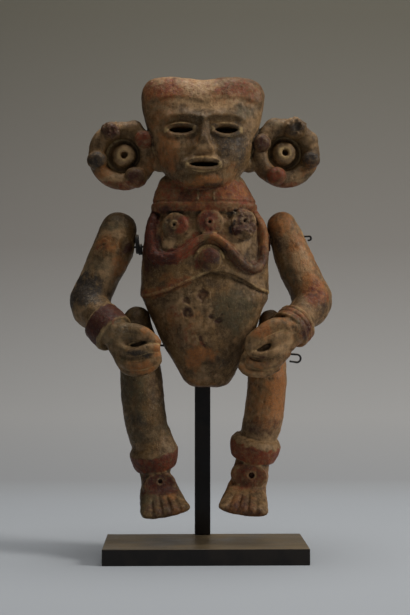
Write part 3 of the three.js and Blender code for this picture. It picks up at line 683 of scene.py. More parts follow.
def body_clay():
    clay = Clay((-80, -34, 100), (79, 29, 306), BODY_STEP)
    clay.add(loft(PELVIS, ends=1.5))
    clay.add(tunic_form(), 0.4)
    clay.carve(tube(through(on_front(TUNIC, HEM_GROOVE, 0.1), 4)), 0.6)
    clay.add(loft(COLLAR, ends=1.2), 0.6)
    clay.carve(tube(around(COLLAR, COLLAR_GROOVE["z"], COLLAR_GROOVE["radius"])), 0.5)
    for x in COLLAR_RIBS["x"]:
        rib = [(x, z, COLLAR_RIBS["radius"]) for z in np.linspace(COLLAR_RIBS["from"], COLLAR_RIBS["to"], 6)]
        clay.add(tube(on_front(COLLAR, rib, 0.1)), 0.4)
    add_rope(clay)
    add_medals(clay)
    add_navel(clay)
    clay.add(head_form(), 0.5)
    for ear in EARS:
        add_ear(clay, ear)
    for feature, x in ((EYE, -EYE["x"]), (EYE, EYE["x"]), (MOUTH, 0)):
        clay.carve(slit(feature, x), 0.5)
    for side in (-1, 1):
        front = front_of(HEAD, HEAD_X, NOSE["base"])
        nostril = (HEAD_X + side * NOSTRIL["x"], front + NOSTRIL["sunk"], NOSE["base"] + NOSTRIL["lift"])
        clay.carve(ball(nostril, NOSTRIL["radii"]), 0.4)
    for wire in (SHOULDER_WIRE, HIP_WIRE):
        clay.carve(bore_form(wire), 0.3)
    return clay


# Limbs

def trench(path, front, back):
    """Slot seen from the front along x and z, with half its height, that runs from front to back"""
    path = np.array(path, float)
    flat = np.insert(path, 1, 0.0, axis=1)
    line, low, high = tube(flat)

    def shape(x, y, z):
        return np.maximum(line(x, 0 * y, z), np.maximum(front - y, y - back))

    return shape, (low[0], front, low[2]), (high[0], back, high[2])


def add_hand(clay, hand):
    at = np.array(hand["at"], float)
    for centre, radii in hand["mitten"]:
        clay.add(ball(at + centre, radii), 2.5)
    centre, radii = hand["dish"]
    clay.carve(ball(at + centre, radii), 1.5)
    for ridge in hand["ridges"]:
        path = [(*(at + point[:3]), point[3]) for point in ridge]
        clay.add(tube(through(path, 4)), 1.5)
    slot = [(at[0] + x, at[2] + z, half) for x, z, half in hand["slot"]]
    clay.carve(trench(through(slot, 4), at[1] - 10, at[1] - 1.3), 0.7)


def bore_form(wire):
    ends = (wire["left"][0] - 2, wire["right"][0] + 20)
    return tube([(*wire_line(wire, x), BORE_RADIUS) for x in ends])


def cuff_axis(side):
    inward = 1 if side == "right" else -1
    return np.array((CUFF["axis"][0] * inward, CUFF["axis"][1], CUFF["axis"][2]))


def cuff_profile(cuff):
    half = cuff["width"] / 2

    def profile(r, h):
        rims = CUFF["rim"] * (bump(h - half + 1, 0.8) + bump(h + half - 1, 0.8))
        grooves = sum(0.6 * bump(h - place, 0.6) for place in cuff["grooves"])
        face = r - CUFF["radius"] + 0.4 - rims + grooves + (h / half) ** 2 * 0.6
        return smooth_max(face, np.abs(h) - half, 1.4)

    return profile


def arm_clay(side):
    node_low, node_high = (np.array(corner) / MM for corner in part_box(f"arm_{side}"))
    clay = Clay(node_low - 5, node_high + 5, LIMB_STEP)
    upper, lower = ARMS[side]
    clay.add(tube(through(upper, 5)))
    clay.add(tube(through(lower, 5)), 3)
    cuff = CUFFS[side]
    clay.add(turned(cuff["at"], cuff_axis(side), cuff_profile(cuff), CUFF["radius"] + 6), 0.8)
    add_hand(clay, HANDS[side])
    if side == "right":
        clay.carve(ball(GOUGE["at"], GOUGE["radii"]), 0.6)
    clay.carve(bore_form(SHOULDER_WIRE), 0.3)
    return clay


def foot_frame(side):
    foot = FEET[side]
    roll, turn = math.radians(foot["roll"]), math.radians(foot["turn"])
    about_y = np.array([[math.cos(roll), 0, math.sin(roll)], [0, 1, 0], [-math.sin(roll), 0, math.cos(roll)]])
    about_z = np.array([[math.cos(turn), -math.sin(turn), 0], [math.sin(turn), math.cos(turn), 0], [0, 0, 1]])
    return np.array(foot["at"], float), about_z @ about_y


def foot_form(side):
    at, turn = foot_frame(side)
    # As level sections: "height" is the distance ahead, "front" and "back" the sole and the top
    sections = [(ahead, -half, half, sole, top) for ahead, half, top, sole in FOOT]
    plain, _, _ = loft(sections, ends=2)

    def shape(x, y, z):
        dx, dy, dz = x - at[0], y - at[1], z - at[2]
        u, v, w = (dx * turn[0, i] + dy * turn[1, i] + dz * turn[2, i] for i in range(3))
        return plain(u, w, -v)

    return shape, at - (26, 30, 30), at + (26, 20, 12)


def boss_place(side):
    at, turn = foot_frame(side)
    across, above = FEET[side]["boss"]
    return at + turn @ (across, BOSS["ahead"], above)


def add_foot(clay, side):
    at, turn = foot_frame(side)
    clay.add(foot_form(side), 1.5)
    foot = FEET[side]
    centre = boss_place(side)
    forward = turn @ (0, -1, -0.1)
    wide, high = foot["size"]
    up = turn @ (0, 0, 1)

    def boss(x, y, z):
        dx, dy, dz = x - centre[0], y - centre[1], z - centre[2]
        along = dx * forward[0] + dy * forward[1] + dz * forward[2]
        rise = dx * up[0] + dy * up[1] + dz * up[2]
        sideways = np.maximum(dx * dx + dy * dy + dz * dz - along**2 - rise**2, 0)
        flat = np.sqrt(sideways * (high / wide) ** 2 + rise**2)
        return drum(high, -6, BOSS["rise"], 1.4)(flat, along)

    clay.add((boss, centre - 12, centre + 12), 2)
    across, above = foot["hole"]
    hole = centre + turn @ (across, 0, above)
    clay.carve(turned(hole, forward, drum(foot["bore"], BOSS["rise"] - foot["deep"], 9, 0.5), 12), 0.6)
    for i in range(TOES["count"] - 1):
        share = ((i + 1) / TOES["count"] - 0.5) * 2
        path = [(*(at + turn @ (share * out, -ahead, up)), radius) for out, ahead, up, radius in TOES["path"]]
        clay.carve(tube(through(path, 3)), 0.7)


def anklet_axis(side):
    spine = np.array(LEGS[side])[:, :3]
    return unit(unit(spine[-3] - spine[-1]) - (0, ANKLET["dip"], 0))


def anklet_profile(side):
    radius, half, slope = ANKLETS[side]["radius"], ANKLET["width"] / 2, ANKLET["slope"]
    corner = ANKLET["corner"]
    run = half - corner

    def profile(r, h):
        side_face = r - radius - ANKLET["rim"] * bump(h - corner, 0.8) + ((h - corner) / half) ** 2 * 0.9
        top_face = ((r - radius) * run + (h - corner) * slope) / math.hypot(run, slope)
        return smooth_max(smooth_max(side_face, top_face, 1.2), np.abs(h) - half, 1.6)

    return profile


def leg_clay(side):
    node_low, node_high = (np.array(corner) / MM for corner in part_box(f"leg_{side}"))
    clay = Clay(node_low - 5, node_high + 5, LIMB_STEP)
    clay.add(tube(through(LEGS[side], 3)))
    if side == "right":
        clay.add(tube(CALF), 2)
    anklet = ANKLETS[side]
    clay.add(turned(anklet["at"], anklet_axis(side), anklet_profile(side), anklet["radius"] + 6), 0.9)
    add_foot(clay, side)
    clay.carve(bore_form(HIP_WIRE), 0.3)
    return clay


# Meshes

def put_in_scene(name, data):
    made = bpy.data.objects.new(name, data)
    bpy.context.scene.collection.objects.link(made)
    return made


def new_object(name, mesh, material):
    made = put_in_scene(name, mesh)
    mesh.materials.append(material)
    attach(made, "root")
    return made


def quad_mesh(name, points, quads):
    mesh = bpy.data.meshes.new(name)
    mesh.vertices.add(len(points))
    mesh.loops.add(quads.size)
    mesh.polygons.add(len(quads))
    mesh.vertices.foreach_set("co", (points * MM).astype(np.float32).ravel())
    mesh.loops.foreach_set("vertex_index", quads.ravel())
    mesh.polygons.foreach_set("loop_start", np.arange(0, quads.size, 4, dtype=np.int32))
    mesh.polygons.foreach_set("use_smooth", np.ones(len(quads), bool))
    mesh.update(calc_edges=True)
    return mesh


def point_normals(mesh):
    normals = np.empty(len(mesh.vertices) * 3, np.float32)
    mesh.vertices.foreach_get("normal", normals)
    return normals.reshape(-1, 3).astype(float)


def thin(made):
    """Merge faces where the surface is plain, down to the most that a piece may have"""
    faces = 2 * len(made.data.polygons)
    if faces <= MOST_FACES:
        return
    modifier = made.modifiers.new("thin", "DECIMATE")
    modifier.ratio = MOST_FACES / faces
    graph = bpy.context.evaluated_depsgraph_get()
    thinned = bpy.data.meshes.new_from_object(made.evaluated_get(graph))
    made.modifiers.remove(modifier)
    made.data = thinned


def hand_made(points, seed):
    """Unevenness of a surface shaped by hand, and the small pits in it"""
    lumps = 0.3 * noise(points, 12, seed) + 0.2 * noise(points, 5, seed + 1)
    grain = 0.1 * noise(points, 1.9, seed + 2)
    pits = ramp(0.32, 0.12, spots(stirred_lightly(points), 3.4, seed + 3, 0.13))
    return lumps + grain, pits


def clay_piece(node, clay, paint, seed, relief=None):
    points, quads = clay.surface()
    mesh = quad_mesh(node + "_clay", points, quads)
    normals = point_normals(mesh)
    # How enclosed each point is, for the painted shade in hollows and creases, and how near an edge
    shelter = np.clip(1 - clay.sample(points + normals * SHELTER_REACH) / SHELTER_REACH, 0, 1)
    seam = np.clip(1 - clay.sample(points + normals * SEAM_REACH) / SEAM_REACH, 0, 1)
    edge = np.clip(1 + clay.sample(points - normals * EDGE_REACH) / EDGE_REACH, 0, 1)
    masks = {"shelter": shelter, "seam": seam, "edge": edge, **paint(points)}
    lumps, pits = hand_made(points, seed)
    height = lumps * (1 - 0.6 * shelter) - 0.4 * pits
    masks["pits"] = pits
    if relief is not None:
        height = height + relief(points)
    points = points + normals * height[:, None]
    mesh.vertices.foreach_set("co", (points * MM).astype(np.float32).ravel())
    mesh.update()
    for name, values in masks.items():
        mesh.attributes.new(name, "FLOAT", "POINT").data.foreach_set("value", values.astype(np.float32))
    made = new_object(node + "_clay", mesh, CLAY)
    thin(made)
    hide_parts(node)


# Materials

def linear(red, green, blue):
    """A colour as seen, 0 to 255, as the renderer's own values"""
    values = [value / 255 for value in (red, green, blue)]
    return (*(v / 12.92 if v <= 0.04045 else ((v + 0.055) / 1.055) ** 2.4 for v in values), 1)


class Nodes:
    def __init__(self, name):
        self.material = bpy.data.materials.new(name)
        self.material.use_nodes = True
        self.tree = self.material.node_tree
        self.shader = self.tree.nodes["Principled BSDF"]
        self.place = self.add("TexCoord").outputs["Object"]

    def put(self, socket, value):
        if isinstance(value, bpy.types.NodeSocket):
            self.tree.links.new(value, socket)
        else:
            socket.default_value = value

    def add(self, kind, inputs=None, **settings):
        made = self.tree.nodes.new("ShaderNode" + kind)
        for name, value in settings.items():
            setattr(made, name, value)
        for key, value in (inputs or {}).items():
            self.put(made.inputs[key], value)
        return made

    def noise(self, size, detail, rough=0.55, stretch=None):
        place = self.place
        if stretch is not None:
            place = self.add("Mapping", {"Vector": place, "Scale": stretch}).outputs["Vector"]
        inputs = {"Vector": place, "Scale": 1 / (size * MM), "Detail": detail, "Roughness": rough}
        return self.add("TexNoise", inputs).outputs["Fac"]

    def math(self, operation, a, b=0.0):
        return self.add("Math", {0: a, 1: b}, operation=operation).outputs[0]

    def attribute(self, name):
        return self.add("Attribute", attribute_name=name).outputs["Fac"]

    def range(self, value, low, high, to_low=0.0, to_high=1.0):
        made = self.add("MapRange", {"Value": value, "From Min": low, "From Max": high, "To Min": to_low,
                                     "To Max": to_high}, interpolation_type="SMOOTHSTEP")
        return made.outputs["Result"]

    def mix(self, factor, a, b, blend="MIX"):
        made = self.add("Mix", {0: factor, 6: a, 7: b}, data_type="RGBA", blend_type=blend)
        return made.outputs[2]

    def bump(self, height, distance, strength):
        inputs = {"Height": height, "Distance": distance * MM, "Strength": strength}
        return self.add("Bump", inputs).outputs["Normal"]


# The clay's layers from the lowest up: two shades, the size of the patches that they break into, how
# much they break up, and how far they cover what is under them
LAYERS = [
    ("slip", (204, 168, 124), (164, 130, 90), 3.6, 1.5, 0.75),
    ("olive", (94, 86, 60), (66, 60, 43), 4.2, 1.5, 0.85),
    ("ochre", (182, 118, 60), (138, 84, 40), 3.8, 1.6, 0.8),
    ("red", (140, 60, 28), (96, 38, 18), 2.6, 2.0, 0.92),
    ("maroon", (76, 30, 17), (48, 21, 13), 2.8, 1.5, 0.95),
    ("soot", (44, 39, 36), (28, 25, 24), 3.2, 1.7, 0.9),
    ("chalk", (178, 168, 148), (150, 138, 116), 0.9, 3.0, 0.7),
]
# Dark brown for sheltered places, creases and pits: painted shade, with some grime
GRIME_AND_SHADE = (28, 20, 12)
# Pale colour for up-facing steel: dust, and a painted reflection that lightens the tops
DUST_AND_REFLECTION = (148, 127, 94)


def clay_material():
    n = Nodes("clay")
    broad, mottle, fine = n.noise(12, 4), n.noise(3, 5, 0.62), n.noise(0.9, 4, 0.65)
    streak = n.noise(2.4, 5, 0.62, (1, 1, 0.18))
    colour = n.mix(n.range(broad, 0.38, 0.62), linear(120, 90, 52), linear(92, 69, 40))
    colour = n.mix(n.range(mottle, 0.4, 0.7, 0, 0.42), colour, linear(62, 45, 28))
    for name, shade, other, size, spread, strength in LAYERS:
        patches = n.math("MULTIPLY", n.math("SUBTRACT", n.noise(size, 6, 0.68), 0.5), spread)
        drawn = n.math("MULTIPLY", n.math("SUBTRACT", streak, 0.5), 0.7)
        amount = n.math("ADD", n.attribute(name), n.math("ADD", patches, drawn))
        shades = n.mix(n.range(fine, 0.35, 0.65), linear(*shade), linear(*other))
        colour = n.mix(n.range(amount, 0.15, 0.95, 0, strength), colour, shades)
    stains, scuffs = n.noise(4.6, 6, 0.7), n.noise(2.1, 6, 0.7)
    colour = n.mix(n.range(stains, 0.5, 0.68, 0, 0.38), colour, linear(48, 35, 23))
    painted = n.math("MAXIMUM", n.attribute("red"), n.attribute("maroon"))
    bare = n.range(painted, 0.2, 0.8, 1, 0.32)
    scuffed = n.math("MULTIPLY", bare, n.range(scuffs, 0.54, 0.72, 0, 0.34))
    colour = n.mix(scuffed, colour, linear(172, 144, 98))
    worn = n.math("MULTIPLY", n.range(n.attribute("edge"), 0.14, 0.55), n.range(mottle, 0.34, 0.58))
    colour = n.mix(n.math("MULTIPLY", worn, n.math("MULTIPLY", bare, 0.65)), colour, linear(196, 166, 114))
    # Sheltered places, creases and pits darken: painted shade, with some grime
    low = n.math("ADD", n.attribute("shelter"), n.math("MULTIPLY", n.math("SUBTRACT", mottle, 0.5), 0.9))
    colour = n.mix(n.range(low, 0.25, 0.95, 0, 0.8), colour, linear(*GRIME_AND_SHADE))
    deep = n.math("MAXIMUM", n.attribute("seam"), n.math("MULTIPLY", n.attribute("pits"), 0.7))
    colour = n.mix(n.range(deep, 0.35, 0.95, 0, 0.8), colour, linear(*GRIME_AND_SHADE))
    shading = n.mix(n.range(fine, 0.3, 0.7), linear(90, 90, 90), linear(184, 184, 184))
    colour = n.mix(0.4, colour, shading, "SOFT_LIGHT")
    n.put(n.shader.inputs["Base Color"], colour)
    n.put(n.shader.inputs["Roughness"], n.range(mottle, 0.35, 0.65, 0.44, 0.72))
    n.put(n.shader.inputs["Specular IOR Level"], 0.27)
    grain = n.math("ADD", n.noise(0.8, 4, 0.7), n.math("MULTIPLY", n.noise(2.4, 3), 1.6))
    n.put(n.shader.inputs["Normal"], n.bump(n.math("ADD", grain, streak), 0.28, 0.85))
    return n.material


def steel_material(name, shade, other, roughness, metallic):
    n = Nodes(name)
    cloud, fine = n.noise(22, 6, 0.6), n.noise(1.3, 4, 0.6)
    drawn = n.noise(5, 5, 0.6, (0.12, 1, 1))
    colour = n.mix(n.range(cloud, 0.4, 0.62), linear(*shade), linear(*other))
    # Up-facing faces are lightened: dust, and a painted reflection on the tops
    up = n.add("SeparateXYZ", {"Vector": n.add("NewGeometry").outputs["Normal"]}).outputs["Z"]
    dust_and_reflection = n.math("MULTIPLY", n.range(up, 0.5, 1), n.range(n.math("ADD", drawn, cloud), 0.7, 1.3, 0.35, 0.75))
    colour = n.mix(dust_and_reflection, colour, linear(*DUST_AND_REFLECTION))
    n.put(n.shader.inputs["Base Color"], colour)
    uneven = n.math("ADD", cloud, n.math("MULTIPLY", fine, 0.4))
    n.put(n.shader.inputs["Roughness"], n.range(uneven, 0.5, 0.9, *roughness))
    n.put(n.shader.inputs["Metallic"], metallic)
    n.put(n.shader.inputs["Normal"], n.bump(fine, 0.05, 0.5))
    return n.material


CLAY = clay_material()
STAND = steel_material("stand_patina", (22, 18, 16), (36, 30, 25), (0.36, 0.52), 0.4)
WIRE = steel_material("wire_steel", (17, 16, 15), (26, 24, 22), (0.45, 0.6), 0.3)
RUBBER = steel_material("spacer_rubber", (13, 11, 10), (21, 18, 16), (0.55, 0.7), 0.0)
LEATHER = steel_material("washer_leather", (92, 50, 36), (66, 36, 28), (0.6, 0.8), 0.0)


# How much of each layer a piece has all over, and its patches of paint and fire clouds in each layer, as
# place, radii and amount; two patches are painted shade, where marked
BASES = {
    "figure_body": {"slip": 0.3, "olive": 0.12, "ochre": 0.08},
    "arm_right": {"slip": 0.3, "olive": 0.3},
    "arm_left": {"slip": 0.42, "ochre": 0.25},
    "leg_right": {"slip": 0.15, "olive": 0.5},
    "leg_left": {"slip": 0.36, "ochre": 0.3},
}
PATCHES = {
    "figure_body": {
        "red": [
            ((14.6, -15, 225.5), (10, 9, 4), 0.6), ((22.6, -14.2, 219.5), (6, 6, 2.6), 0.8),
            ((-14.6, -18.6, 207), (4.4, 4, 7), 0.9), ((2, -19, 208.4), (9, 5, 8), 0.9),
            ((0, -23, 186), (7, 6, 7), 0.7), ((-1, -21, 186), (5, 4, 5), 0.5),
            ((-19.6, -16, 151.5), (7, 6, 5), 0.5), ((-3.9, -15.7, 134.8), (3.4, 4, 3.4), 0.55),
            ((-12, -17, 140), (10, 6, 10), 0.25), ((-27, -12, 290), (15, 12, 8.5), 0.55),
            ((17.6, -13.7, 291), (17, 12, 8), 0.5), ((-26, -17, 246), (5, 7, 9), 0.35),
        ],
        "ochre": [
            ((16, -15, 226), (11, 9, 5), 0.95), ((-2.2, -17.5, 216.4), (11, 6, 3), 0.8),
            ((-21.4, -18.3, 173), (9, 6, 3), 0.6), ((-15.3, -16.8, 169), (6, 5, 3), 0.75),
            ((-26.7, -14.5, 164.2), (6, 5, 2.4), 0.7), ((0, -22, 187), (5, 4, 5), 0.6),
            ((-21, -15, 147), (9, 7, 8), 0.5), ((-5.6, -13, 125.2), (11, 8, 8), 0.85),
            ((-10, -17, 142), (14, 8, 14), 0.3), ((-26, -12, 288), (16, 12, 9), 0.75),
            ((18, -13, 288), (17, 12, 8), 0.45), ((-30, -16, 272), (7, 9, 10), 0.5),
            ((-24, -18, 251), (10, 8, 13), 0.7), ((-0.7, -22.7, 231.6), (15, 7, 4.5), 0.75),
            ((17, -19, 240), (6, 7, 8), 0.4), ((-63.3, -2.2, 239.1), (8, 7, 8), 0.7),
            ((-36, -6, 244), (6, 7, 8), 0.6), ((66, -3, 243), (6, 6, 7), 0.5),
            ((42, -3, 241), (8, 7, 8), 0.5),
        ],
        "maroon": [
            ((-11.4, -16, 224), (7, 7, 3.4), 0.7), ((-24.1, -13.9, 218.5), (5, 6, 3.4), 0.75),
            ((2.4, -20, 207), (10, 6, 10), 0.6), ((-18.8, -19, 205.8), (9, 6, 9), 0.5),
            ((23.6, -17.5, 207), (9.6, 5, 10), 0.9), ((-18, -18, 198.6), (8, 5, 3), 0.5),
            ((21.5, -18.1, 200.6), (6, 4, 2.6), 0.9), ((-35, -11, 192), (7, 12, 22), 0.75),
            # The strip at height 227.4 under the chin is a painted shadow where the chin hangs over the
            # collar
            ((2, -23, 185), (7.6, 6, 7.6), 0.8), ((-1, -17, 227.4), (17, 5, 2.2), 0.5),
            ((26, -12, 286), (9, 8, 4), 0.25),
        ],
        "olive": [
            ((-23, -17, 206), (5, 5, 7), 0.7), ((20, -17, 153), (15, 10, 17), 0.75),
            ((24, -16, 275), (10, 9, 6), 0.6), ((42, -3, 270), (7, 6, 6), 0.5),
        ],
        "soot": [
            ((15, -15.5, 214), (4, 4, 3.4), 0.8), ((16.4, -16.5, 206), (2, 3, 6), 0.7),
            ((5, -21, 181), (5, 4, 4), 0.5), ((19.8, -15.2, 146.2), (4, 5, 4), 0.5),
            ((9.4, -12.6, 124.3), (8, 7, 9), 0.35), ((14, -21, 254), (9, 9, 9), 0.62),
            ((23, -18, 257), (8, 9, 13), 0.6), ((15, -19, 267), (10, 6, 4), 0.5),
        ],
        "chalk": [
            ((23, -18, 209), (6, 4, 5), 0.2), ((15, -15.5, 213.6), (4, 4, 3), 0.3),
        ],
        "slip": [
            ((18, -17, 194.5), (11, 6, 7), 0.95), ((-23.2, -15.4, 193.5), (7, 6, 5), 0.75),
            ((-8, -18, 198), (8, 6, 5), 0.5), ((20, -19, 177), (14, 6, 5), 0.35),
            ((-1, -9.3, 114.5), (12, 9, 4), 0.5), ((-8, -17, 146), (20, 8, 20), 0.48),
            ((-5.4, -12.8, 293), (13, 10, 12), 1), ((-1, -16, 283), (32, 10, 5), 0.85),
            ((-25, -10, 299), (14, 10, 4), 0.7), ((-2, -24, 250), (9, 8, 7), 0.85),
            ((2, -18, 276), (14, 8, 5), 0.3), ((-51, -6, 270), (8, 5, 4), 0.7),
            ((-50, -5, 233), (9, 5, 3), 0.7), ((-50.6, -4, 251.5), (8.6, 7, 8.6), 1),
            ((50.6, -3, 252.6), (8.6, 6, 8.6), 0.55), ((-66, -3, 262), (6, 6, 9), 0.5),
            ((-58, -4, 236), (12, 6, 7), 0.85), ((54, -4, 269), (10, 6, 5), 0.85),
            ((68.2, -1.7, 261.4), (7, 6, 7), 0.6), ((58, -4, 236), (8, 6, 6), 0.6),
        ],
    },
    "arm_right": {
        "olive": [
            ((-58.6, -2.6, 209.7), (12, 10, 7), 0.6), ((-68, -5.7, 181), (14, 15, 7), 0.5),
            ((-52, -24, 122), (7, 7, 7), 0.5),
        ],
        "ochre": [
            ((-62, -5, 195), (9, 8, 7), 0.6), ((-54.5, -4, 181.6), (6, 8, 12), 0.55),
            ((-36.4, -28.5, 142.1), (7, 6, 4), 0.5), ((-30, -27, 132), (6, 7, 9), 0.85),
            ((-36, -26, 118), (11, 8, 5), 0.7),
        ],
        "red": [
            ((-64.5, -4.9, 192), (6, 7, 3), 0.35), ((-58.9, -22.2, 151.1), (6, 6, 5), 0.7),
        ],
        "slip": [
            ((-60, -5, 204), (12, 8, 9), 0.6), ((-58, -7, 176), (9, 8, 14), 0.8),
            ((-54.9, -26.8, 140.6), (8, 7, 8), 0.6),
        ],
        "soot": [
            ((-77, -7, 169), (10, 10, 10), 0.9), ((-82, -2, 160), (9, 10, 9), 0.85),
            ((-75, -9, 165), (13, 11, 11), 1), ((-43, -29, 125), (8, 5, 3.4), 0.8),
        ],
        "maroon": [
            ((-48.6, -4, 194), (4.4, 6, 6), 0.9),
        ],
        "chalk": [
            ((-70, -10, 158), (5, 4, 5), 0.3), ((-52, -27, 143), (5, 4, 4), 0.4),
        ],
    },
    "arm_left": {
        "ochre": [
            ((48, -2.6, 208), (9, 9, 9), 0.7), ((57, -4, 196), (8, 9, 12), 0.6),
            ((68, -10, 168), (11, 10, 12), 0.85), ((31, -28, 143), (9, 7, 9), 0.7),
            ((27, -25, 119), (8, 7, 6), 0.55),
        ],
        "slip": [
            ((61.6, -6.8, 182), (7, 8, 18), 0.8), ((46, -26, 135), (7, 7, 12), 0.8),
            ((50, -20, 152), (7, 7, 5), 0.4), ((27, -26, 131), (5, 6, 6), 0.5),
        ],
        "red": [
            ((67, -9.8, 165), (10, 9, 8), 0.6), ((33.6, -28.7, 140.6), (7, 6, 6), 0.3),
        ],
        "maroon": [
            ((68, -9, 161), (12, 11, 11), 0.5), ((35.1, -28.8, 122.9), (7, 5, 3.2), 0.6),
            ((60.1, -23, 140), (6, 6, 7), 0.75),
        ],
        "soot": [
            # The patch on the arm's inner side by the shoulder is painted shade between the arm and the body
            ((73.4, -9, 157), (4, 6, 6), 0.5), ((43.5, 1, 198), (4, 8, 9), 0.6),
        ],
        "olive": [
            ((52, -3, 172), (6, 10, 16), 0.6), ((54.9, -22.7, 146), (5, 5, 5), 0.6),
        ],
    },
    "leg_right": {
        "olive": [
            ((-44, -7, 104), (11, 12, 26), 0.6), ((-29, -18, 34), (14, 14, 10), 0.55),
        ],
        "slip": [
            ((-33, -8, 106), (4, 8, 24), 0.35), ((-38, -7, 77), (12, 9, 8), 0.35),
            ((-26, -20, 32), (9, 9, 8), 0.3),
        ],
        "maroon": [
            ((-31, -6, 104), (6, 9, 22), 0.3), ((-24, -20, 32), (14, 13, 10), 0.55),
        ],
        "soot": [
            ((-43, -7, 87), (9, 9, 4), 0.55),
        ],
        "chalk": [
            ((-31.3, -6.8, 95.5), (4, 6, 7), 0.3),
        ],
        "ochre": [
            ((-17, -20, 30), (6, 8, 7), 0.6), ((-22, -12, 40), (5, 8, 6), 0.5),
        ],
        "red": [
            ((-38, -11, 47), (4, 5, 8), 0.6),
        ],
    },
    "leg_left": {
        "ochre": [
            ((45, -6, 108), (8, 12, 28), 0.9), ((38.7, -8.8, 90), (11, 9, 14), 0.6),
            ((20, -20, 35), (7, 9, 7), 0.6), ((30, -21, 32), (5, 7, 8), 0.5),
        ],
        "slip": [
            ((33, -8, 106), (7, 9, 30), 0.5), ((36, -8, 78), (12, 9, 5), 0.3),
            ((25, -18, 36), (8, 8, 7), 0.4),
        ],
        "olive": [
            ((27.4, -5.8, 75.6), (9, 8, 6), 0.5), ((38, -12, 52), (5, 6, 6), 0.6),
        ],
        "maroon": [
            ((36, -8, 81), (13, 9, 10), 0.5), ((29, -3, 100), (4, 9, 20), 0.35),
            ((31, -12, 46), (8, 5, 2.4), 0.3), ((23, -21, 31), (14, 13, 10), 0.6),
        ],
        "red": [
            ((22, -12, 51), (6, 6, 6), 0.75),
        ],
    },
}


def near(points, centre, radii):
    """1 inside an oval space, fading to 0 round it"""
    away = np.linalg.norm((points - np.array(centre, float)) / np.array(radii, float), axis=1)
    return ramp(1.4, 0.5, away)


def stirred(points):
    """Places shifted about, so that what is drawn with them has uneven outlines"""
    shift = [2.4 * noise(points, 7, seed) + 0.9 * noise(points, 2.4, seed + 3) for seed in (70, 80, 90)]
    return points + np.column_stack(shift)


def patched(node, points):
    layers = {name: np.zeros(len(points)) for name, *_ in LAYERS}
    for i, (name, amount) in enumerate(BASES[node].items()):
        layers[name] += amount + 0.2 * noise(points, 15, 60 + i)
    moved = stirred(points)
    for name, patches in PATCHES[node].items():
        for centre, radii, amount in patches:
            layers[name] = np.maximum(layers[name], amount * near(moved, centre, radii))
    return layers


def lay(layers, mask, **amounts):
    for name, amount in amounts.items():
        layers[name] = np.maximum(layers[name], mask * amount)


def on_path(points, path, radius, soft):
    """1 within a radius of a path"""
    nearest = np.full(len(points), 99.0)
    for place in np.array(path, float)[:, :3]:
        nearest = np.minimum(nearest, np.linalg.norm(points - place, axis=1))
    return ramp(radius + soft, radius - soft, nearest)


def on_band(points, centre, axis, radius, low, high):
    """1 on a ring's outer face, between two heights along its axis"""
    away = points - np.array(centre, float)
    along = away @ unit(axis)
    out = np.linalg.norm(away - along[:, None] * unit(axis), axis=1)
    between = ramp(low - 0.5, low + 0.5, along) * ramp(high + 0.5, high - 0.5, along)
    return between * ramp(radius - 4, radius - 2.6, out)


def paint_body(points):
    layers = patched("figure_body", points)
    x, y, z = points.T
    rope = np.array(through(ROPE, 6))
    moved = stirred_lightly(points)
    left = on_path(moved, on_front(TUNIC, rope[rope[:, 0] < -14], 0.5), 4.8, 1)
    middle = on_path(moved, on_front(TUNIC, rope[np.abs(rope[:, 0] + 7) < 13], -1), 5, 1)
    right = on_path(moved, on_front(TUNIC, rope[rope[:, 0] > 4], -1), 4.6, 1)
    lay(layers, left * ramp(-12, -22, x), maroon=0.75)
    lay(layers, left, red=0.85)
    lay(layers, middle * ramp(4, -8, x), red=0.75)
    hem = [(hem_x, hem_z + 1) for hem_x, hem_z in HEM if hem_x < 0]
    lay(layers, on_path(moved, on_front(TUNIC, through(hem, 8)), 3.6, 1.4), ochre=0.6, red=0.45, maroon=0.25)
    lay(layers, right * ramp(-6, 6, x), slip=0.3)
    lay(layers, right, red=0.4)
    lay(layers, right * ramp(-2, 8, x) * ramp(198, 190, z), maroon=0.45)
    lay(layers, right * ramp(200, 188, z), soot=0.35)
    lay(layers, right * ramp(186, 194, z), ochre=0.6)
    # The collar's paint stops short of the chin, which hangs over it in front
    collar = ramp(213.4, 214.6, z) * ramp(236, 233, z) * (1 - ramp(228, 231, z) * ramp(-17, -19, y))
    lay(layers, collar, red=0.5, ochre=0.4)
    ticks = sum(bump(x - rib, 0.7) for rib in COLLAR_RIBS["x"]) * ramp(221, 222, z) * ramp(228, 226, z)
    lay(layers, ticks * (y < 0), slip=0.5)
    for name in ("red", "maroon", "ochre"):
        layers[name] *= 1 - 0.6 * np.clip(ticks, 0, 1) * (y < 0)
    crown = ramp(-2, 3, z - band_edge(x - HEAD_X)) * (z < 303) * (np.abs(x - HEAD_X) < 40)
    lay(layers, crown, red=0.3)
    for ear in EARS:
        _, forward, _ = ear_frame(ear)
        for place, paint in zip(pellet_places(ear), ear["paints"]):
            lay(layers, near(points, place + forward * 1.5, (6.4, 6.4, 6)), **{paint: 0.8})
            lay(layers, on_path(points, [place + forward * 4.6], 5.4, 0.5), slip=0.25)
    for place, radius, _ in PITS:
        lay(layers, near(moved, place, (radius * 1.3,) * 3), maroon=0.65)
    crack = [(2.6, float(front_of(PELVIS, 2.6, z)), z) for z in np.linspace(153, 165, 20)]
    lay(layers, on_path(points, crack, 0.4, 0.3), slip=1)
    return layers


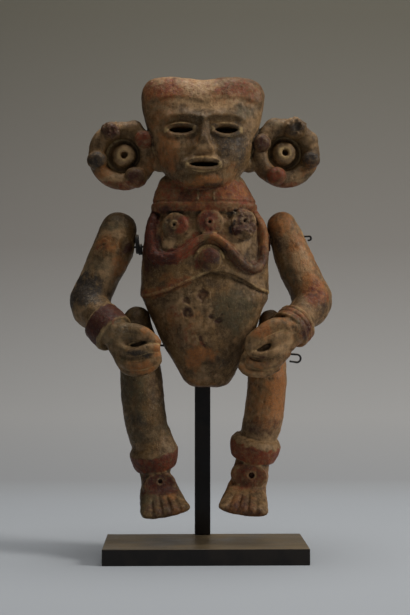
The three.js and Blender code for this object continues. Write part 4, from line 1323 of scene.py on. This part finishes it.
def body_relief(points):
    height = np.zeros(len(points))
    for place, radius, depth in PITS:
        away = np.linalg.norm(stirred_lightly(points) - np.array(place), axis=1)
        height -= depth * ramp(radius + 0.7, radius - 0.7, away) * (1 - 0.5 * ramp(radius * 0.7, 0, away))
    lumps = 0.5 + 0.5 * noise(points, 1.7, 130)
    grains = ramp(0.5, 0.15, spots(points, 1.9, 140, 0.6))
    for place, radius, amount in CRUSTS:
        away = np.linalg.norm(points - place, axis=1)
        height += amount * ramp(radius + 1.5, radius - 2, away) * (lumps + grains - 0.5)
    return height


def stirred_lightly(points):
    return points + 0.7 * np.column_stack([noise(points, 2, seed) for seed in (100, 110, 120)])


def paint_arm(side):
    def paint(points):
        layers = patched(f"arm_{side}", points)
        moved = stirred_lightly(points)
        cuff = CUFFS[side]
        half = cuff["width"] / 2
        place = (cuff["at"], cuff_axis(side), CUFF["radius"])
        face = on_band(moved, *place, -half + 1.2, half - 1.2)
        rims = on_band(moved, *place, -half, half) - face
        lay(layers, face, **cuff["paints"])
        lay(layers, rims, slip=0.3)
        return layers

    return paint


def paint_leg(side):
    def paint(points):
        layers = patched(f"leg_{side}", points)
        moved = stirred_lightly(points)
        anklet = ANKLETS[side]
        half = ANKLET["width"] / 2
        axis, radius = anklet_axis(side), anklet["radius"]
        face = on_band(moved, anklet["at"], axis, radius, -half, ANKLET["corner"])
        slope = on_band(moved, anklet["at"], axis, radius - 5, ANKLET["corner"], half + 5)
        lay(layers, slope, slip=anklet["slip"])
        for name in ("olive", "ochre"):
            layers[name] *= 1 - 0.6 * slope
        lay(layers, face, **anklet["paints"])
        _, turn = foot_frame(side)
        boss = boss_place(side)
        across, above = FEET[side]["hole"]
        hole = boss + turn @ (across, -BOSS["rise"], above)
        lay(layers, near(moved, boss, (16, 7, 10)), red=0.6)
        lay(layers, near(moved, boss, (15, 7, 10)), maroon=FEET[side]["maroon"])
        lay(layers, on_path(points, [hole + (0, 0, -0.5)], 2.7, 0.4), slip=FEET[side]["ring"])
        return layers

    return paint


def make_clay():
    clay_piece("figure_body", body_clay(), paint_body, 11, body_relief)
    for i, side in enumerate(("right", "left")):
        clay_piece(f"arm_{side}", arm_clay(side), paint_arm(side), 31 + 7 * i)
        clay_piece(f"leg_{side}", leg_clay(side), paint_leg(side), 51 + 7 * i)


# Stand, wires and spacers

def block(name, node, low, high, edge, material):
    corners = list(product(*zip(low, high)))
    sides = [(0, 1, 3, 2), (4, 6, 7, 5), (0, 4, 5, 1), (2, 3, 7, 6), (0, 2, 6, 4), (1, 5, 7, 3)]
    mesh = quad_mesh(name, np.array(corners, float), np.array(sides, np.int32))
    made = new_object(name, mesh, material)
    rounding = made.modifiers.new("edges", "BEVEL")
    rounding.width = edge * MM
    rounding.segments = 3
    rounding.harden_normals = True
    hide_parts(node)


def wire_line(wire, x):
    (x0, z0), (x1, z1) = wire["left"], wire["right"]
    return np.array((x, WIRE_Y, z0 + (z1 - z0) * (x - x0) / (x1 - x0)))


def sweep(name, path, radius):
    """Round rod along a path, with flat ends"""
    sides = WIRE_SIDES
    path = np.array(path, float)
    along = np.gradient(path, axis=0)
    along /= np.linalg.norm(along, axis=1)[:, None]
    side = np.array((0.0, 1.0, 0.0))
    up = np.cross(along, side)
    turns = np.linspace(0, 2 * math.pi, sides, endpoint=False)
    rings = [p + radius * (math.cos(a) * side + math.sin(a) * u) for p, u in zip(path, up) for a in turns]
    quads = []
    for k in range(len(path) - 1):
        for i in range(sides):
            j = (i + 1) % sides
            quads.append((k * sides + i, (k + 1) * sides + i, (k + 1) * sides + j, k * sides + j))
    points = np.array([*rings, path[0], path[-1]])
    first, last = len(points) - 2, len(points) - 1
    mesh = bpy.data.meshes.new(name)
    start = (len(path) - 1) * sides
    caps = [(first, (i + 1) % sides, i) for i in range(sides)]
    caps += [(last, start + i, start + (i + 1) % sides) for i in range(sides)]
    mesh.from_pydata([tuple(p * MM) for p in points], [], [*quads, *caps])
    mesh.polygons.foreach_set("use_smooth", np.ones(len(mesh.polygons), bool))
    mesh.update()
    return mesh


def make_wire(node, wire):
    x, z = wire["right"]
    radius = wire["drop"] / 2
    bend = [(x + radius * math.cos(a), WIRE_Y, z - radius + radius * math.sin(a))
            for a in np.radians(np.linspace(80, -90, 12))]
    end = (x - wire["back"], WIRE_Y, z - wire["drop"] + 0.14 * wire["back"])
    path = [wire_line(wire, wire["left"][0]), wire_line(wire, x - 20), wire_line(wire, x - 3), *bend, end]
    made = new_object(node + "_rod", sweep(node + "_rod", path, WIRE_RADIUS), WIRE)
    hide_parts(node)


def shifted(wire, x, rise):
    return wire_line(wire, x) + (0, 0, rise)


def fitting(node, parts, wire, material):
    """Small moulded piece round a wire, from discs as start, end, rise, radius and edge"""
    reach = max(part[3] for part in parts) + 3
    middle = shifted(wire, (parts[0][0] + parts[-1][1]) / 2, 0)
    form = Clay(middle - (6, reach, reach), middle + (6, reach, reach), FITTING_STEP)
    axis = unit(shifted(wire, 1, 0) - shifted(wire, 0, 0))
    for start, end, rise, radius, edge in parts:
        form.add(turned(shifted(wire, (start + end) / 2, rise), axis,
                        drum(radius, (start - end) / 2, (end - start) / 2, edge), radius + 2))
    ends = (parts[0][0] - 4, parts[-1][1] + 4)
    form.carve(tube([(*shifted(wire, x, 0), WIRE_RADIUS + WIRE_GAP) for x in ends]))
    made = new_object(node + "_piece", quad_mesh(node + "_piece", *form.surface()), material)
    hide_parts(node)


def make_spacers():
    flange_end = SPACER["from"] + SPACER["thickness"]
    fitting("shoulder_spacer_right", [
        (SPACER["from"], flange_end, SPACER["rise"], SPACER["radius"], 0.5),
        (flange_end - 0.6, SPACER["to"], -SPACER["neck_drop"], SPACER["neck_radius"], 0.4),
    ], SHOULDER_WIRE, RUBBER)
    fitting("shoulder_spacer_left", [(WASHER["from"], WASHER["to"], -WASHER["drop"], WASHER["radius"], 0.25)],
            SHOULDER_WIRE, LEATHER)


def make_stand():
    width, depth, thickness = PLATE["width"], PLATE["depth"], PLATE["thickness"]
    block("stand_plate", "display_plate", (-width / 2, -depth / 2, 0), (width / 2, depth / 2, thickness),
          PLATE["edge"], STAND)
    back, x, half = depth / 2, POST["x"], POST["width"] / 2
    block("stand_post", "display_post", (x - half, back - POST["depth"], thickness + POST["gap"]),
          (x + half, back, POST["top"]), POST["edge"], STAND)


# Stage

CAMERA = {"at": (-17.5, -771, 132.8), "yaw": 1.3, "pitch": 1.7, "field": 28.05, "near": 0.05}
STAGE = {"front": -2.2, "bend_from": 0.22, "bend_radius": 0.55, "top": 3.2, "half_width": 3.0}
# Lights as place, size, power and colour, and the place that they point to
LIGHTS = {
    "key": ((2, -0.66, 1.28), 0.6, 32, (1, 0.97, 0.92)),
    "top": ((0.05, -0.05, 1.1), 0.7, 6.8, (1, 0.98, 0.95)),
    "fill": ((-0.9, -1.2, 0.5), 1.2, 0.4, (1, 1, 1)),
}
LIT_PLACE = (0, 0, 0.17)
WORLD = {"Color": (0.9, 0.93, 1, 1), "Strength": 0.06}
# Colours of the floor and backdrop by height, from the floor up: painted shade that darkens the backdrop
# towards its top, as if the light fell off
STAGE_PAINTED_FALLOFF = [
    (0.0, (174, 179, 185)), (0.012, (158, 160, 163)), (0.06, (166, 166, 166)), (0.25, (134, 131, 127)),
    (0.55, (112, 109, 99)),
]


def stage_material():
    n = Nodes("backdrop")
    height = n.add("SeparateXYZ", {"Vector": n.place}).outputs["Z"]
    # Painted shade: the colour darkens with height up the backdrop
    shades = n.add("ValToRGB", {"Fac": height})
    ramp_points = shades.color_ramp.elements
    while len(ramp_points) < len(STAGE_PAINTED_FALLOFF):
        ramp_points.new(0.5)
    for element, (place, shade) in zip(ramp_points, STAGE_PAINTED_FALLOFF):
        element.position = place
        element.color = linear(*shade)
    n.put(n.shader.inputs["Base Color"], shades.outputs["Color"])
    n.put(n.shader.inputs["Roughness"], 0.9)
    n.put(n.shader.inputs["Specular IOR Level"], 0.1)
    return n.material


def make_stage():
    """A floor that sweeps up into a backdrop"""
    radius, start, half = STAGE["bend_radius"], STAGE["bend_from"], STAGE["half_width"]
    profile = [(STAGE["front"], 0.0), (start, 0.0)]
    profile += [(start + radius * math.sin(a), radius - radius * math.cos(a))
                for a in np.radians(np.linspace(5, 90, 18))]
    profile.append((start + radius, STAGE["top"]))
    points = [(x, y, z) for y, z in profile for x in (-half, half)]
    quads = [(2 * i, 2 * i + 1, 2 * i + 3, 2 * i + 2) for i in range(len(profile) - 1)]
    mesh = bpy.data.meshes.new("floor")
    mesh.from_pydata(points, [], quads)
    mesh.polygons.foreach_set("use_smooth", np.ones(len(quads), bool))
    made = put_in_scene("floor", mesh)
    mesh.materials.append(stage_material())


def add_light(name, at, size, power, colour):
    data = bpy.data.lights.new(name, "AREA")
    data.shape = "DISK"
    data.size = size
    data.energy = power
    data.color = colour
    made = put_in_scene(name, data)
    made.location = at
    made.rotation_euler = (Vector(LIT_PLACE) - Vector(at)).to_track_quat("-Z", "Y").to_euler()


def make_lights():
    for name, settings in LIGHTS.items():
        add_light(name, *settings)
    world = bpy.data.worlds.new("studio")
    bpy.context.scene.world = world
    world.use_nodes = True
    for name, value in WORLD.items():
        world.node_tree.nodes["Background"].inputs[name].default_value = value


def make_camera():
    data = bpy.data.cameras.new("camera")
    data.sensor_fit = "VERTICAL"
    data.angle = math.radians(CAMERA["field"])
    data.clip_start = CAMERA["near"]
    made = put_in_scene("camera", data)
    made.location = [value * MM for value in CAMERA["at"]]
    made.rotation_euler = (math.radians(90 + CAMERA["pitch"]), 0, math.radians(-CAMERA["yaw"]))
    bpy.context.scene.camera = made


bpy.context.scene.view_settings.view_transform = "Standard"
make_camera()
make_stage()
make_lights()
make_stand()
make_wire("shoulder_wire", SHOULDER_WIRE)
make_wire("hip_wire", HIP_WIRE)
make_spacers()
make_clay()
